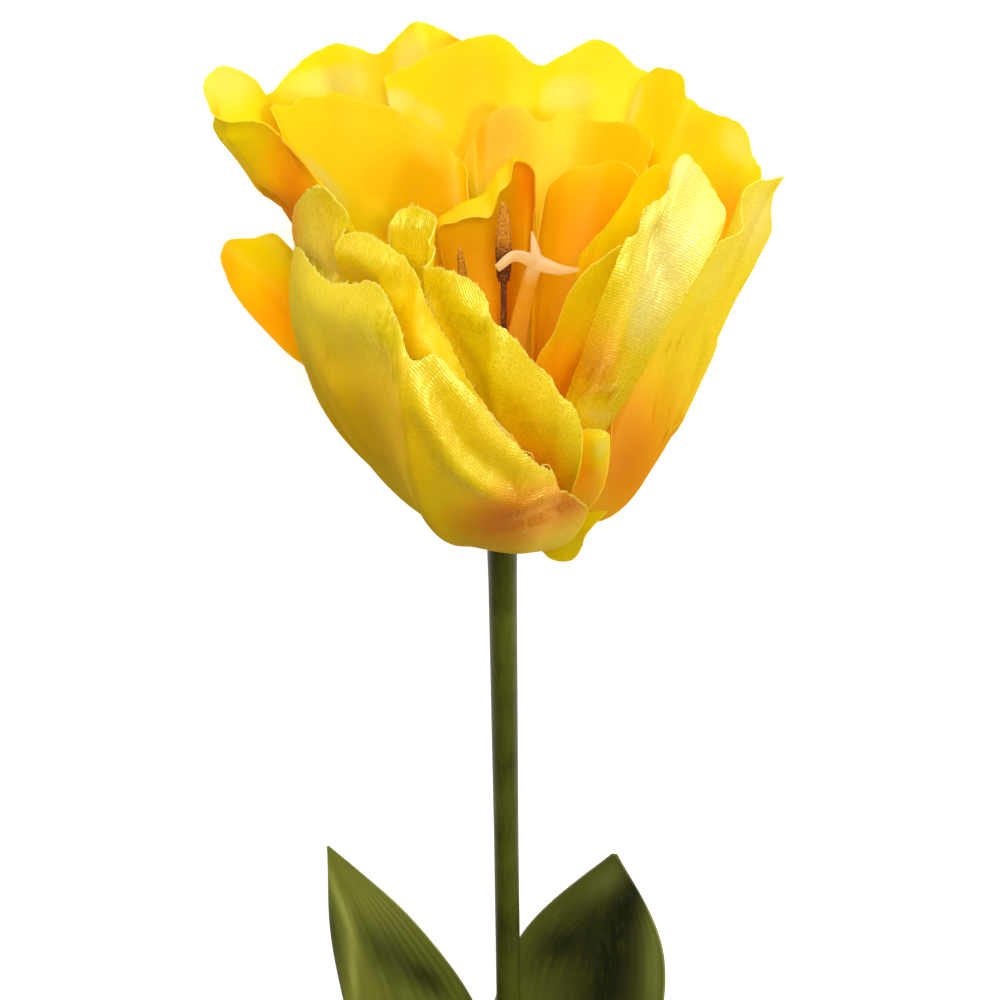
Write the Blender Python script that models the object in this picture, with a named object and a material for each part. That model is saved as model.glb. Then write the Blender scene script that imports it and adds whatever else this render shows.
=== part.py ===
"""An artificial double tulip, lying on its back: satin petals on a plastic-coated stem with two leaves.

The flower is drawn upright, in millimetres, with its origin where the petals meet the stem, +Z up the
stem, +X to the right and +Y away from the viewer. One empty then lays the whole flower on the surface.
"""

import math
from dataclasses import dataclass

import bmesh
import bpy
from mathutils import Euler, Matrix, Vector

MM = 0.001

# How the viewer stands to the upright bloom: rim points are given as they are seen from there
VIEW_TILT = math.radians(30)
VIEW_DISTANCE = 420.0

# How the flower lies: bloom towards +Y, on the rims of two back petals and on the stem's end
LYING_RISE = math.radians(8.205)
LYING_PLACE = Vector((1.25, 84.5, 36.15))

PETAL_THICKNESS = 0.6
PETAL_ROWS = 7
CLAW_WIDTH = 3.2
CLAW_RADIUS = 4.5
TIER_HEIGHTS = (0.9, 3.3, 5.7, 8.1)
TIER_SPREAD = (0.44, 0.40, 0.36, 0.30)
TIER_LIFT = (0.02, 0.06, 0.12, 0.20)
LOW_EDGE_LEAN = math.radians(78)
UPRIGHT_FROM = 26.0

# The stem as (radius, height) pairs: the post that the petals are threaded on, then the cut stem
STEM_PROFILE = (
    (3.1, 10.0), (3.8, 9.3), (3.8, 1.2), (3.0, -0.6), (2.35, -2.4), (2.2, -12), (2.0, -60),
    (2.0, -150), (2.0, -239.4), (1.5, -240),
)
STEM_SLANT = 0.012

# The pistil leans to the right between the stamens, which share one ring round its foot
PISTIL_FOOT = Vector((0, 0, 10.4))
PISTIL_TOP = Vector((4.7, 0.5, 43.0))
STIGMA_TIPS = (Vector((-1.2, -2.4, 43.4)), Vector((10.9, -5.0, 44.2)), Vector((4.9, 5.4, 45.2)))
STAMEN_RING = (2.5, 3.7, 10.4, 11.6)
STAMEN_TIPS = (
    Vector((0.1, 4.6, 49.8)), Vector((-6.4, -1.6, 46.6)), Vector((-5.2, -9.0, 41.5)),
    Vector((2.2, -10.0, 34.0)), Vector((9.0, -6.8, 36.5)),
)
ANTHER_SHARE = 0.27

LEAF_THICKNESS = 0.8
LEAF_ROWS = 26
LEAF_COLUMNS = 8


def seen(across, up, back):
    """The point that the viewer sees at (across, up) from the bloom's foot, when it is `back` behind
    the stem's axis, all in millimetres at the foot's distance."""
    sine, cosine = math.sin(VIEW_TILT), math.cos(VIEW_TILT)
    height = up * (1 + cosine * back / VIEW_DISTANCE) - sine * back
    height /= cosine + sine * up / VIEW_DISTANCE
    nearer = 1 + (cosine * back - sine * height) / VIEW_DISTANCE
    return Vector((across * nearer, back, height))


def around(azimuth, radius, height):
    """The point at an azimuth round the stem, in degrees, where 0 faces the viewer and 90 is right."""
    turn = math.radians(azimuth)
    return Vector((radius * math.sin(turn), -radius * math.cos(turn), height))


@dataclass
class Petal:
    """One petal: its rim from left to right as the viewer meets it, and how it grows to that rim."""

    name: str
    azimuth: float
    tier: int
    rim: tuple
    lean: tuple = (30.0, 30.0, 30.0)
    spread: tuple = (1.0, 1.0, 1.0)
    lift: tuple = (1.0, 1.0, 1.0)
    grip: tuple = (0.38, 0.38, 0.38)
    low: tuple = None
    high: tuple = None
    columns: int = 19
    waves: float = 0.0
    wave_depth: float = 0.0
    wave_start: float = 0.0

    def foot(self, t):
        """A point of the petal's claw, from its left corner at t = 0 to its right one at t = 1."""
        middle = around(self.azimuth, CLAW_RADIUS, TIER_HEIGHTS[self.tier])
        side = around(self.azimuth + 90, 1, 0)
        return middle + side * CLAW_WIDTH * (t - 0.5)

    @staticmethod
    def across(values, t):
        """The value at t, from the ones at the left edge, the middle and the right edge."""
        left, middle, right = values
        return middle + ((left if t < 0.5 else right) - middle) * abs(2 * t - 1)

    def rib(self, t, end):
        """The four control points of the rib from the claw to the rim point `end`."""
        start = self.foot(t)
        outward = Vector((end.x, end.y, 0)) + around(self.azimuth, 12, 0)
        outward.normalize()
        low = max(0.0, 1 - end.z / UPRIGHT_FROM)
        lean = math.radians(self.across(self.lean, t)) * (1 - low) + LOW_EDGE_LEAN * low
        level = Vector((end.x - start.x, end.y - start.y, 0))
        rise = Vector((0, 0, end.z - start.z))
        spread = TIER_SPREAD[self.tier] * self.across(self.spread, t)
        lift = TIER_LIFT[self.tier] * self.across(self.lift, t)
        first = start + level * spread + rise * lift
        arrival = outward * math.sin(lean) + Vector((0, 0, math.cos(lean)))
        second = end - arrival * self.across(self.grip, t) * (end - start).length
        if self.low:
            first = self.across(self.low, t)
        if self.high:
            second = self.across(self.high, t)
        return start, first, second, end

    def point(self, t, s, rim):
        """The petal's point at t across it and s up it, from 0 at the claw to 1 at the rim."""
        a, b, c, d = self.rib(t, rim)
        place = a * (1 - s) ** 3 + b * 3 * s * (1 - s) ** 2 + c * 3 * s * s * (1 - s) + d * s ** 3
        if self.wave_depth:
            swing = math.sin(2 * math.pi * (self.waves * t + self.wave_start))
            outward = Vector((rim.x, rim.y, 0)).normalized()
            place = place + outward * self.wave_depth * swing * s ** 3
        return place


def smooth(values, s):
    """The value at s, from 0 to 1, of a smooth curve through `values` set at even distances."""
    ends = [2 * values[0] - values[1], *values, 2 * values[-1] - values[-2]]
    at = min(int(s * (len(values) - 1)), len(values) - 2)
    u = s * (len(values) - 1) - at
    before, start, end, after = ends[at : at + 4]
    return 0.5 * (2 * start + (end - before) * u
                  + (2 * before - 5 * start + 4 * end - after) * u ** 2
                  + (3 * start - before - 3 * end + after) * u ** 3)


def spline(points, count):
    """`count` + 1 points at even distances along a smooth curve through `points`."""
    steps = 12 * (len(points) - 1)
    fine = [smooth(points, i / steps) for i in range(steps + 1)]
    lengths = [0.0]
    for a, b in zip(fine, fine[1:]):
        lengths.append(lengths[-1] + (b - a).length)
    found, at = [], 0
    for i in range(count + 1):
        target = lengths[-1] * i / count
        while at < len(lengths) - 2 and lengths[at + 1] < target:
            at += 1
        share = (target - lengths[at]) / max(lengths[at + 1] - lengths[at], 1e-9)
        found.append(fine[at].lerp(fine[at + 1], min(share, 1.0)))
    return found


PETALS = (
    Petal(
        "petal_front_outer", -22, 0,
        (
            seen(-29.8, 22.6, -9), seen(-31.9, 32, -10), seen(-31.5, 40.2, -13),
            seen(-28.7, 37.6, -20), seen(-25.6, 35.0, -26), seen(-22.5, 35.0, -30), seen(-19.8, 35.4, -33),
            seen(-17.2, 32.6, -36), seen(-15.6, 28.5, -38), seen(-14.3, 24.0, -39), seen(-12.6, 23.5, -39),
            seen(-10.2, 24.0, -39), seen(-7.3, 21.0, -38.5), seen(-3.5, 16.4, -37.5), seen(0.5, 11.8, -36),
            seen(4.4, 8.2, -34), seen(7.5, 6.4, -32), seen(8.3, 4.2, -31), seen(10.5, 2.9, -30),
            seen(12.8, 0.7, -28), seen(10.3, -0.8, -25), seen(8.8, -2.8, -20),
        ),
        lean=(9, -35, 10), spread=(0.64, 1.2, 1.0), columns=24,
    ),
    Petal(
        "petal_front_left", -38, 1,
        (
            seen(-31.0, 38, -3), seen(-31.8, 43, -5), seen(-31.4, 46.6, -7), seen(-30, 48.6, -9),
            seen(-28, 49.3, -11), seen(-26, 48.7, -12), seen(-24.2, 46.6, -13), seen(-23.1, 44.6, -14),
            seen(-23.7, 42.6, -15), seen(-22.3, 42.8, -16), seen(-20.6, 42.5, -18), seen(-18.5, 41.4, -20),
            seen(-15.5, 39.6, -23), seen(-13.9, 37.4, -25), seen(-12.6, 34.8, -27), seen(-11, 31, -28),
            seen(-9.2, 27.8, -29), seen(-6.6, 23.8, -30), seen(-4.2, 19, -30), seen(-0.8, 14.2, -29),
            seen(2.6, 11.2, -27),
        ),
        lean=(20, 0, 0),
    ),
    Petal(
        "petal_front_middle", -2, 2,
        (
            seen(-16.5, 37, -15), seen(-17.3, 41, -14), seen(-17.5, 43.4, -13), seen(-16.2, 45.5, -12),
            seen(-13.8, 47.1, -11.5), seen(-11.8, 46.2, -12.5), seen(-9.9, 44.7, -14),
            seen(-10.3, 43, -16), seen(-11.0, 41.2, -18), seen(-10.2, 40.2, -19), seen(-10.9, 38.2, -21),
            seen(-12.2, 37.3, -24), seen(-9.8, 37.3, -25), seen(-6.9, 36.4, -26), seen(-4.4, 35, -27),
            seen(-2.4, 32.9, -28), seen(-1.6, 29.6, -29), seen(0.6, 27.7, -29), seen(2.4, 25.8, -29.5),
            seen(4.6, 23.2, -30), seen(7.2, 21, -30), seen(8.8, 18, -30), seen(11, 15.8, -29.5),
            seen(11.9, 12.4, -29), seen(11.2, 9.6, -28), seen(9.8, 6.4, -26), seen(9.3, 3.8, -23),
        ),
        lean=(10, -5, 10), columns=24,
    ),
    Petal(
        "petal_left_curled", -92, 1,
        (
            seen(-28.0, 45, -1), seen(-28.2, 49.6, -3), seen(-31, 53.4, -4), seen(-33.2, 56.6, -5),
            seen(-35.5, 59, -5), seen(-38, 59.8, -4), seen(-41, 59.8, -2), seen(-43.5, 61.4, 0),
            seen(-45, 65.3, 4), seen(-43, 67.5, 8), seen(-41, 67.6, 11), seen(-38.6, 66.2, 14),
            seen(-36, 63.6, 17), seen(-34.4, 60, 19), around(-120, 33, 44),
        ),
        lean=(50, 35, 20),
    ),
    Petal(
        "petal_left_low", -96, 0,
        (
            seen(-29.5, 22.3, 1), seen(-32, 24, 2), seen(-36, 28, 4), seen(-40, 32.7, 6),
            seen(-42.2, 37.5, 9), seen(-42.3, 40, 11), seen(-41.2, 41.4, 12), seen(-37.6, 41.8, 14),
            seen(-33.5, 41.5, 15), around(-110, 32, 27), around(-112, 24, 13),
        ),
        lean=(55, 55, 55),
    ),
    Petal(
        "petal_back_left", -150, 0,
        (
            around(-128, 37, 36), seen(-36.5, 60.5, 27), seen(-34.6, 64, 31), seen(-30, 69, 38.5),
            seen(-27, 70.5, 43), seen(-24.2, 71.3, 44.5), seen(-21.5, 70.4, 44), seen(-18.8, 69.7, 43.5),
            seen(-16.2, 72, 43.8), seen(-13.4, 74.6, 44), seen(-10.5, 73.8, 44), seen(-7.5, 72.4, 44),
            seen(-5.0, 70.0, 44.5), around(180, 42, 46), around(-178, 36, 30),
        ),
        lean=(35, 32, 35),
    ),
    Petal(
        "petal_back", 178, 1,
        (
            around(-154, 30.5, 34), seen(-17.8, 63.5, 33), seen(-16.4, 66.8, 35), seen(-14.4, 67.8, 36.5),
            seen(-12, 69, 38), seen(-9, 70.4, 39.5), seen(-5.5, 71.8, 41), seen(-2, 72.6, 42),
            seen(0.6, 71.7, 42.5), seen(4.5, 68.4, 41), seen(6.6, 68.1, 41.5), seen(8.8, 69.4, 43),
            seen(13.7, 71.6, 44.6), seen(17, 70.6, 44.4), seen(19.8, 68, 43), seen(22.5, 64.5, 41),
            around(148, 38, 38),
        ),
        lean=(32, 35, 35),
    ),
    Petal(
        "petal_back_right", 130, 1,
        (
            around(152, 35, 40), seen(19.4, 61.5, 35), seen(20.6, 65.6, 35.5), seen(22.2, 67, 35),
            seen(23.8, 67.7, 34), seen(27, 66.4, 31), seen(27.6, 63.2, 28.5), seen(29, 62.4, 28),
            seen(31.5, 60.7, 26), seen(34.5, 59.8, 23), seen(37, 57.6, 20), seen(37.7, 54.6, 18),
            seen(38.8, 50.5, 13), around(104, 34, 36),
        ),
        lean=(32, 32, 30),
    ),
    Petal(
        "petal_inner_left", -126, 2,
        (
            around(-100, 27, 42), seen(-33.6, 58, 8), seen(-34.8, 61.8, 12), seen(-32, 61.9, 15),
            seen(-30.6, 63.3, 17), seen(-27, 63.2, 20), seen(-25.8, 63.8, 21), seen(-22, 62.8, 23),
            seen(-17, 61.5, 26), seen(-13.8, 59.4, 27), seen(-10, 57.4, 28), seen(-6.8, 53.8, 27),
            seen(-5.2, 51.4, 25), seen(-5.2, 48, 22),
        ),
        lean=(20, 25, 20),
    ),
    Petal(
        "petal_inner_back", 170, 2,
        (
            seen(-7.2, 48, 28), seen(-5.8, 54, 30), seen(-4.4, 57.2, 32), seen(-2.6, 60, 33),
            seen(0, 61.9, 34), seen(2.4, 61.6, 34), seen(5, 59.7, 33), seen(6.8, 59.7, 33),
            seen(9.4, 61.2, 33.5), seen(12, 60.1, 33), seen(14.5, 59.3, 32), seen(18, 59.4, 30),
            seen(21, 58, 27), seen(22.5, 54, 24), around(142, 22, 34),
        ),
        lean=(25, 25, 25),
    ),
    Petal(
        "petal_centre", -174, 3,
        (
            seen(-9.0, 38, 10), seen(-9.6, 43.2, 8.5), seen(-7.5, 44.2, 8), seen(-5, 45.0, 8),
            seen(-2.2, 44.8, 8), seen(-1.4, 46, 8.5), seen(-0.6, 48.6, 9.5), seen(0.9, 50.0, 10.5),
            seen(1.8, 53.4, 12), seen(4.4, 52.4, 15), seen(4.8, 49, 16), seen(4.6, 44, 15),
        ),
        lean=(-100, -140, 10), grip=(0.25, 0.46, 0.3), columns=18,
    ),
    Petal(
        "petal_inner_right", 128, 3,
        (
            seen(5.0, 40, 12), seen(5.5, 44, 13), seen(6.4, 48.4, 15), seen(8, 51, 17),
            seen(10, 52.4, 18.5), seen(13.4, 52.9, 19), seen(16, 53.7, 19), seen(18.6, 52.8, 17),
            seen(20.8, 50.6, 14), seen(21.6, 46, 10),
        ),
        lean=(10, 15, 10), columns=14,
    ),
    Petal(
        "petal_right_middle", 86, 3,
        (
            seen(12.4, 34, 0), seen(11.5, 38.4, -1), seen(13.2, 41.2, -2), seen(15.2, 43.2, -2),
            seen(17, 45.6, -2.5), seen(18.6, 48, -2.5), seen(20, 50.4, -2.5), seen(21.6, 52, -3),
            seen(23.4, 52.8, -3), seen(25.4, 51.6, -2), seen(27, 49, 0), around(98, 24, 34),
        ),
        lean=(15, 15, 15),
    ),
    Petal(
        "petal_front_right", 26, 3,
        (
            seen(4.6, 20, -13), seen(5.3, 23.8, -14), seen(7.4, 27, -14.5), seen(9, 31.2, -14.5),
            seen(10.2, 34, -14.5), seen(12.4, 36.8, -14), seen(15, 38.8, -13.5), seen(18.2, 40.8, -12.5),
            seen(20, 38, -10), seen(19.6, 33, -9), seen(18, 28, -9),
        ),
        lean=(5, 0, 5), columns=14,
    ),
    Petal(
        "petal_right_shiny", 44, 2,
        (
            seen(18.6, 42.0, -20.5), seen(20.6, 43, -19.5), seen(22.2, 46.6, -18), seen(24.3, 48.3, -17),
            seen(25.8, 50.2, -16), seen(25.9, 53, -15.5), seen(27.5, 54.6, -15), seen(29, 53.2, -14.5),
            seen(31.2, 50, -14.5), seen(33.5, 45.8, -16), seen(33, 42.6, -17.5),
        ),
        low=(seen(8, 7, -12), seen(8, 3, -17), seen(12, 2, -19)),
        high=(seen(10.5, 26, -27), seen(21, 22, -33), seen(21, 24, -32)),
    ),
    Petal(
        "petal_right_rolled", 82, 1,
        (
            seen(14.2, 2.2, -14), seen(15.2, 5.4, -16), seen(16.2, 9.6, -18), seen(16.5, 14, -19),
            seen(17.2, 17.4, -19.5), seen(20.3, 20.0, -19.5), seen(24, 27, -19), seen(26.6, 33, -18),
            seen(29.4, 37.2, -16.5), seen(32.4, 41, -13.5), seen(34.6, 42.2, -11.5), seen(36.4, 43.4, -10),
            seen(36, 46.2, -8), seen(36.6, 49.2, -7), seen(38.8, 50.6, -5), seen(40.4, 50.6, -3),
            seen(42.3, 51.1, -2), seen(41, 49.2, 0), seen(40.4, 46, 2), seen(40.2, 42, 4),
            around(96, 34, 34), around(98, 29, 22),
        ),
        lean=(20, 24, 29), spread=(1.2, 1.85, 1.4), lift=(2, -4.9, 0), columns=22,
    ),
    Petal(
        "petal_right_low", 122, 0,
        (
            around(104, 27, 13), around(107, 33, 24), around(114, 38, 34), around(124, 40.5, 40),
            around(135, 40.5, 40), around(144, 38, 34), around(149, 33, 24), around(150, 26, 13),
        ),
        lean=(30, 30, 30),
    ),
    Petal(
        "petal_low_right", 36, 1,
        (
            seen(10, 4, -18.5), seen(10.2, 8, -22.5), seen(11.2, 11.2, -25), seen(12.4, 13.2, -26),
            seen(14.3, 13.4, -26), seen(15.8, 12.6, -25), seen(16.2, 10.4, -24), seen(15.9, 8, -22.5),
            seen(15, 5.4, -20.5), seen(13.6, 3.4, -18.5),
        ),
        lean=(0, 0, 0), columns=12,
    ),
    Petal(
        "petal_hanging_tip", 38, 0,
        (
            seen(6.2, -5.2, -11), seen(7.0, -6.4, -12.5), seen(8.8, -7.0, -13.5), seen(10.4, -6.9, -14),
            seen(11.7, -5.6, -14.5), seen(12.4, -3.4, -15), seen(13.6, -1.6, -15.5), seen(15.6, 0.6, -16),
        ),
        lean=(60, 60, 60), columns=9,
    ),
)


@dataclass
class Leaf:
    """One long leaf, which clasps the stem at its foot and opens as it rises.

    `path` is its centre line as four Bezier points. The azimuth that its back faces, its breadth and
    the radius that it is hollowed to are given at even distances from the foot to the tip.
    """

    name: str
    path: tuple
    azimuths: tuple
    breadths: tuple
    hollows: tuple

    def point(self, t, s):
        """The leaf's point at t across it, from its left edge to its right, and s up it."""
        a, b, c, d = self.path
        centre = a * (1 - s) ** 3 + b * 3 * s * (1 - s) ** 2 + c * 3 * s * s * (1 - s) + d * s ** 3
        azimuth = smooth(self.azimuths, s)
        hollow = smooth(self.hollows, s)
        turn = (t - 0.5) * smooth(self.breadths, s) / hollow
        side = around(azimuth + 90, 1, 0)
        back = around(azimuth, 1, 0)
        return centre + side * hollow * math.sin(turn) - back * hollow * (1 - math.cos(turn))


LEAVES = (
    Leaf(
        "leaf_left",
        (
            around(-112, 2.75, -158) + Vector((-0.2 + 158 * STEM_SLANT, 0, 0)),
            Vector((-9.5, 2.4, -130)), seen(-12.2, -77, 3.5), seen(-26.6, -50.2, -1),
        ),
        azimuths=(-112, -130, -150, -160, -165),
        breadths=(5.6, 12, 18, 22.5, 24, 21.5, 14, 1.2),
        hollows=(2.75, 6, 12, 18, 22, 24),
    ),
    Leaf(
        "leaf_right",
        (
            around(112, 2.75, -170) + Vector((-0.2 + 170 * STEM_SLANT, 0, 0)),
            Vector((14.5, 7.5, -136)), seen(7.5, -79, 10), seen(17.1, -51.4, 3),
        ),
        azimuths=(112, 130, 150, 165, 172),
        breadths=(5.6, 13, 21, 29, 33, 31, 24, 1.8),
        hollows=(2.75, 7, 14, 21, 26, 30),
    ),
)


def material(name, colour, roughness, metallic=0.0):
    """A plain finish of one colour, given as sRGB shares of 1."""
    made = bpy.data.materials.new(name)
    made.use_nodes = True
    shader = made.node_tree.nodes["Principled BSDF"]
    linear = [((c + 0.055) / 1.055) ** 2.4 if c > 0.04045 else c / 12.92 for c in colour]
    shader.inputs["Base Color"].default_value = (*linear, 1)
    shader.inputs["Roughness"].default_value = roughness
    shader.inputs["Metallic"].default_value = metallic
    made.diffuse_color = (*linear, 1)
    return made


def sheet(name, grid, thickness, finish, parent):
    """An object of even thickness about the grid of points, split into triangles alike on both faces."""
    rows, columns = len(grid), len(grid[0])
    mesh = bmesh.new()
    verts = [[mesh.verts.new(p * MM) for p in row] for row in grid]
    for j in range(rows - 1):
        for i in range(columns - 1):
            mesh.faces.new((verts[j][i], verts[j][i + 1], verts[j + 1][i + 1], verts[j + 1][i]))
    bmesh.ops.triangulate(mesh, faces=mesh.faces[:], quad_method="SHORT_EDGE")
    data = bpy.data.meshes.new(name)
    mesh.to_mesh(data)
    mesh.free()
    data.shade_smooth()
    made = bpy.data.objects.new(name, data)
    bpy.context.scene.collection.objects.link(made)
    made.parent = parent
    data.materials.append(finish)
    wall = made.modifiers.new("Thickness", "SOLIDIFY")
    wall.thickness = thickness * MM
    wall.offset = 0
    wall.use_quality_normals = True
    return made


def petal_object(petal, finish, parent):
    rim = spline(list(petal.rim), petal.columns)
    grid = [
        [petal.point(i / petal.columns, j / PETAL_ROWS, rim[i]) for i in range(petal.columns + 1)]
        for j in range(PETAL_ROWS + 1)
    ]
    return sheet(petal.name, grid, PETAL_THICKNESS, finish, parent)


def leaf_object(leaf, finish, parent):
    grid = [
        [leaf.point(i / LEAF_COLUMNS, j / LEAF_ROWS) for i in range(LEAF_COLUMNS + 1)]
        for j in range(LEAF_ROWS + 1)
    ]
    return sheet(leaf.name, grid, LEAF_THICKNESS, finish, parent)


def tube(name, centres, radii, sides=12):
    """A closed round tube through the centres, one radius each, left unparented."""
    mesh = bmesh.new()
    rings = []
    last = len(centres) - 1
    for i, (centre, radius) in enumerate(zip(centres, radii)):
        along = centres[min(i + 1, last)] - centres[max(i - 1, 0)]
        turn = along.to_track_quat("Z", "Y")
        ring = []
        for k in range(sides):
            angle = 2 * math.pi * k / sides
            spoke = Vector((radius * math.cos(angle), radius * math.sin(angle), 0))
            ring.append(mesh.verts.new((centre + turn @ spoke) * MM))
        rings.append(ring)
    for low, high in zip(rings, rings[1:]):
        for k in range(sides):
            mesh.faces.new((low[k], low[(k + 1) % sides], high[(k + 1) % sides], high[k]))
    mesh.faces.new(list(reversed(rings[0])))
    mesh.faces.new(rings[-1])
    data = bpy.data.meshes.new(name)
    mesh.to_mesh(data)
    mesh.free()
    made = bpy.data.objects.new(name, data)
    bpy.context.scene.collection.objects.link(made)
    return made


def joined(first, others):
    """The first object, with the others merged into it as one solid."""
    for other in others:
        merge = first.modifiers.new("Merge", "BOOLEAN")
        merge.operation = "UNION"
        merge.solver = "EXACT"
        merge.object = other
        bpy.context.view_layer.objects.active = first
        bpy.ops.object.modifier_apply(modifier=merge.name)
        bpy.data.objects.remove(other)
    return first


def finished(made, finish, parent):
    made.data.materials.clear()
    made.data.materials.append(finish)
    made.parent = parent
    return made


def stem_object(finish, parent):
    centres = [Vector((-0.2 - STEM_SLANT * min(height, 0), 0, height)) for _, height in STEM_PROFILE]
    centres = [Vector((0, 0, c.z)) if c.z > 0 else c for c in centres]
    radii = [radius for radius, _ in STEM_PROFILE]
    return finished(tube("stem", centres[::-1], radii[::-1], 24), finish, parent)


def pistil_object(finish, parent):
    """The three-sided column and the stigma's three blunt arms on top of it."""
    shares = (0, 0.04, 0.3, 0.6, 0.86, 0.95, 1.0)
    bend = Vector((1.2, 0, 20))
    centres = [
        PISTIL_FOOT * (1 - s) ** 2 + (PISTIL_FOOT + bend) * 2 * s * (1 - s) + PISTIL_TOP * s * s
        for s in shares
    ]
    column = tube("pistil", centres, (1.6, 1.9, 1.9, 1.7, 1.5, 1.7, 1.3))
    arms = []
    for i, tip in enumerate(STIGMA_TIPS):
        root = PISTIL_TOP + Vector((0, 0, -1.6))
        middle = root.lerp(tip, 0.55) + Vector((0, 0, 1.3))
        path = spline([root, middle, tip], 6)
        arms.append(tube(f"arm {i}", path, (0.9, 1.2, 1.25, 1.3, 1.35, 1.2, 0.7), 10))
    return finished(joined(column, arms), finish, parent)


def stamens_object(finish, parent):
    """Five stamens, filament and anther, on the ring round the pistil."""
    inner, outer, bottom, top = STAMEN_RING
    ring = bpy.data.meshes.new("stamens")
    mesh = bmesh.new()
    section = ((inner, bottom), (outer, bottom), (outer, top), (inner, top))
    sides = 30
    loops = [[mesh.verts.new(around(360 * k / sides, r, z) * MM) for r, z in section] for k in range(sides)]
    for k in range(sides):
        here, after = loops[k], loops[(k + 1) % sides]
        for i in range(4):
            mesh.faces.new((here[i], after[i], after[(i + 1) % 4], here[(i + 1) % 4]))
    bmesh.ops.recalc_face_normals(mesh, faces=mesh.faces[:])
    mesh.to_mesh(ring)
    mesh.free()
    made = bpy.data.objects.new("stamens", ring)
    bpy.context.scene.collection.objects.link(made)
    filaments = []
    for i, tip in enumerate(STAMEN_TIPS):
        outward = Vector((tip.x, tip.y, 0)).normalized()
        foot = outward * (inner + outer) / 2 + Vector((0, 0, (bottom + top) / 2))
        middle = foot.lerp(tip, 0.5) + outward * 0.6
        line = spline([foot, middle, tip], 12)
        anther = line[-1] - (line[-1] - line[0]) * ANTHER_SHARE
        path = [*line[:9], anther, anther.lerp(tip, 0.08), anther.lerp(tip, 0.5), anther.lerp(tip, 0.92), tip]
        radii = (0.5,) * 9 + (0.45, 0.8, 0.9, 0.75, 0.35)
        filaments.append(tube(f"stamen {i}", path, radii, 8))
    return finished(joined(made, filaments), finish, parent)


def clear_scene():
    for thing in list(bpy.data.objects):
        bpy.data.objects.remove(thing)


def lying_frame():
    """The empty that lays the upright flower on its back."""
    frame = bpy.data.objects.new("flower_lying", None)
    bpy.context.scene.collection.objects.link(frame)
    turn = Euler((-math.pi / 2 + LYING_RISE, 0, 0)).to_matrix().to_4x4()
    frame.matrix_world = Matrix.Translation(LYING_PLACE * MM) @ turn
    return frame


def main():
    clear_scene()
    frame = lying_frame()
    satin = material("yellow satin", (0.93, 0.80, 0.12), 0.5)
    for petal in PETALS:
        petal_object(petal, satin, frame)
    stem_object(material("olive stem coating", (0.36, 0.37, 0.14), 0.5), frame)
    green = material("green leaf cloth", (0.35, 0.42, 0.12), 0.6)
    for leaf in LEAVES:
        leaf_object(leaf, green, frame)
    stamens_object(material("brown anthers", (0.42, 0.17, 0.02), 0.7), frame)
    pistil_object(material("peach pistil", (0.91, 0.72, 0.44), 0.4), frame)


if __name__ == "__main__":
    main()
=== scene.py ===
"""An artificial double tulip of heat-formed satin, lying on its back on a pale surface.

The flower is drawn as its solids are: upright, in millimetres, with its origin where the petals meet the
stem, +Z up the stem, +X to the right and +Y away from the viewer. LYING then lays every piece down.
"""

import logging
import math
from dataclasses import dataclass, field
from enum import Enum

import bpy
import numpy as np
from mathutils import Matrix, Vector

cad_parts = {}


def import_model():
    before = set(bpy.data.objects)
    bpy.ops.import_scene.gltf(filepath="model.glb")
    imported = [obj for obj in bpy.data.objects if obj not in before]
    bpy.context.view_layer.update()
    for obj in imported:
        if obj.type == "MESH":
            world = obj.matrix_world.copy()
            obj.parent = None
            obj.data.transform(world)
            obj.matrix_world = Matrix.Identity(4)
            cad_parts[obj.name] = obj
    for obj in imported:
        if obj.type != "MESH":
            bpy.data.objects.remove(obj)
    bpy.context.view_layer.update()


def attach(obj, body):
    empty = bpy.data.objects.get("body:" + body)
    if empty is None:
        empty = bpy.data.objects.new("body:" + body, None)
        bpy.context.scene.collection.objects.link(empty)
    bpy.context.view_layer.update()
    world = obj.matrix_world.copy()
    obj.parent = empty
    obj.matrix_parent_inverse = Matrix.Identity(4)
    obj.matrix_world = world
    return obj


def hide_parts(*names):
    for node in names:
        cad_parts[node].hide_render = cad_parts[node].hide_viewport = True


LOG = logging.getLogger("tulip")

MM = 0.001

# How the viewer stands to the upright bloom: rims, folds and blushes are given as they are seen from there
VIEW_TILT = math.radians(30)
VIEW_DISTANCE = 420.0
VIEW_ALONG = Vector((0, math.cos(VIEW_TILT), -math.sin(VIEW_TILT)))
VIEW_UP = Vector((0, math.sin(VIEW_TILT), math.cos(VIEW_TILT)))

# How the flower lies: bloom towards +Y, on the rims of two back petals and on the stem's end
LYING_RISE = math.radians(8.205)
LYING_PLACE = Vector((1.25, 84.5, 36.15))
LYING = Matrix.Translation(LYING_PLACE) @ Matrix.Rotation(-math.pi / 2 + LYING_RISE, 4, "X")

# How the petals leave the post, from the lowest of the four tiers to the highest, as in the solids
CLAW_WIDTH = 3.2
CLAW_RADIUS = 4.5
TIER_HEIGHTS = (0.9, 3.3, 5.7, 8.1)
TIER_SPREAD = (0.44, 0.40, 0.36, 0.30)
TIER_LIFT = (0.02, 0.06, 0.12, 0.20)
# A rim point lower than UPRIGHT_FROM is met at more of a slant, up to LOW_EDGE_LEAN at the foot's height
LOW_EDGE_LEAN = math.radians(78)
UPRIGHT_FROM = 26.0

# How far the stem stands off the bloom's middle at the foot, and how much further for each millimetre down
STEM_OFFSET = -0.2
STEM_SLANT = 0.012


class Slot(Enum):
    """The record's material slots."""

    PETALS = "petals"
    STEM = "stem"
    LEAVES = "leaves"
    STAMENS = "stamens"
    PISTIL = "pistil"


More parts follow.
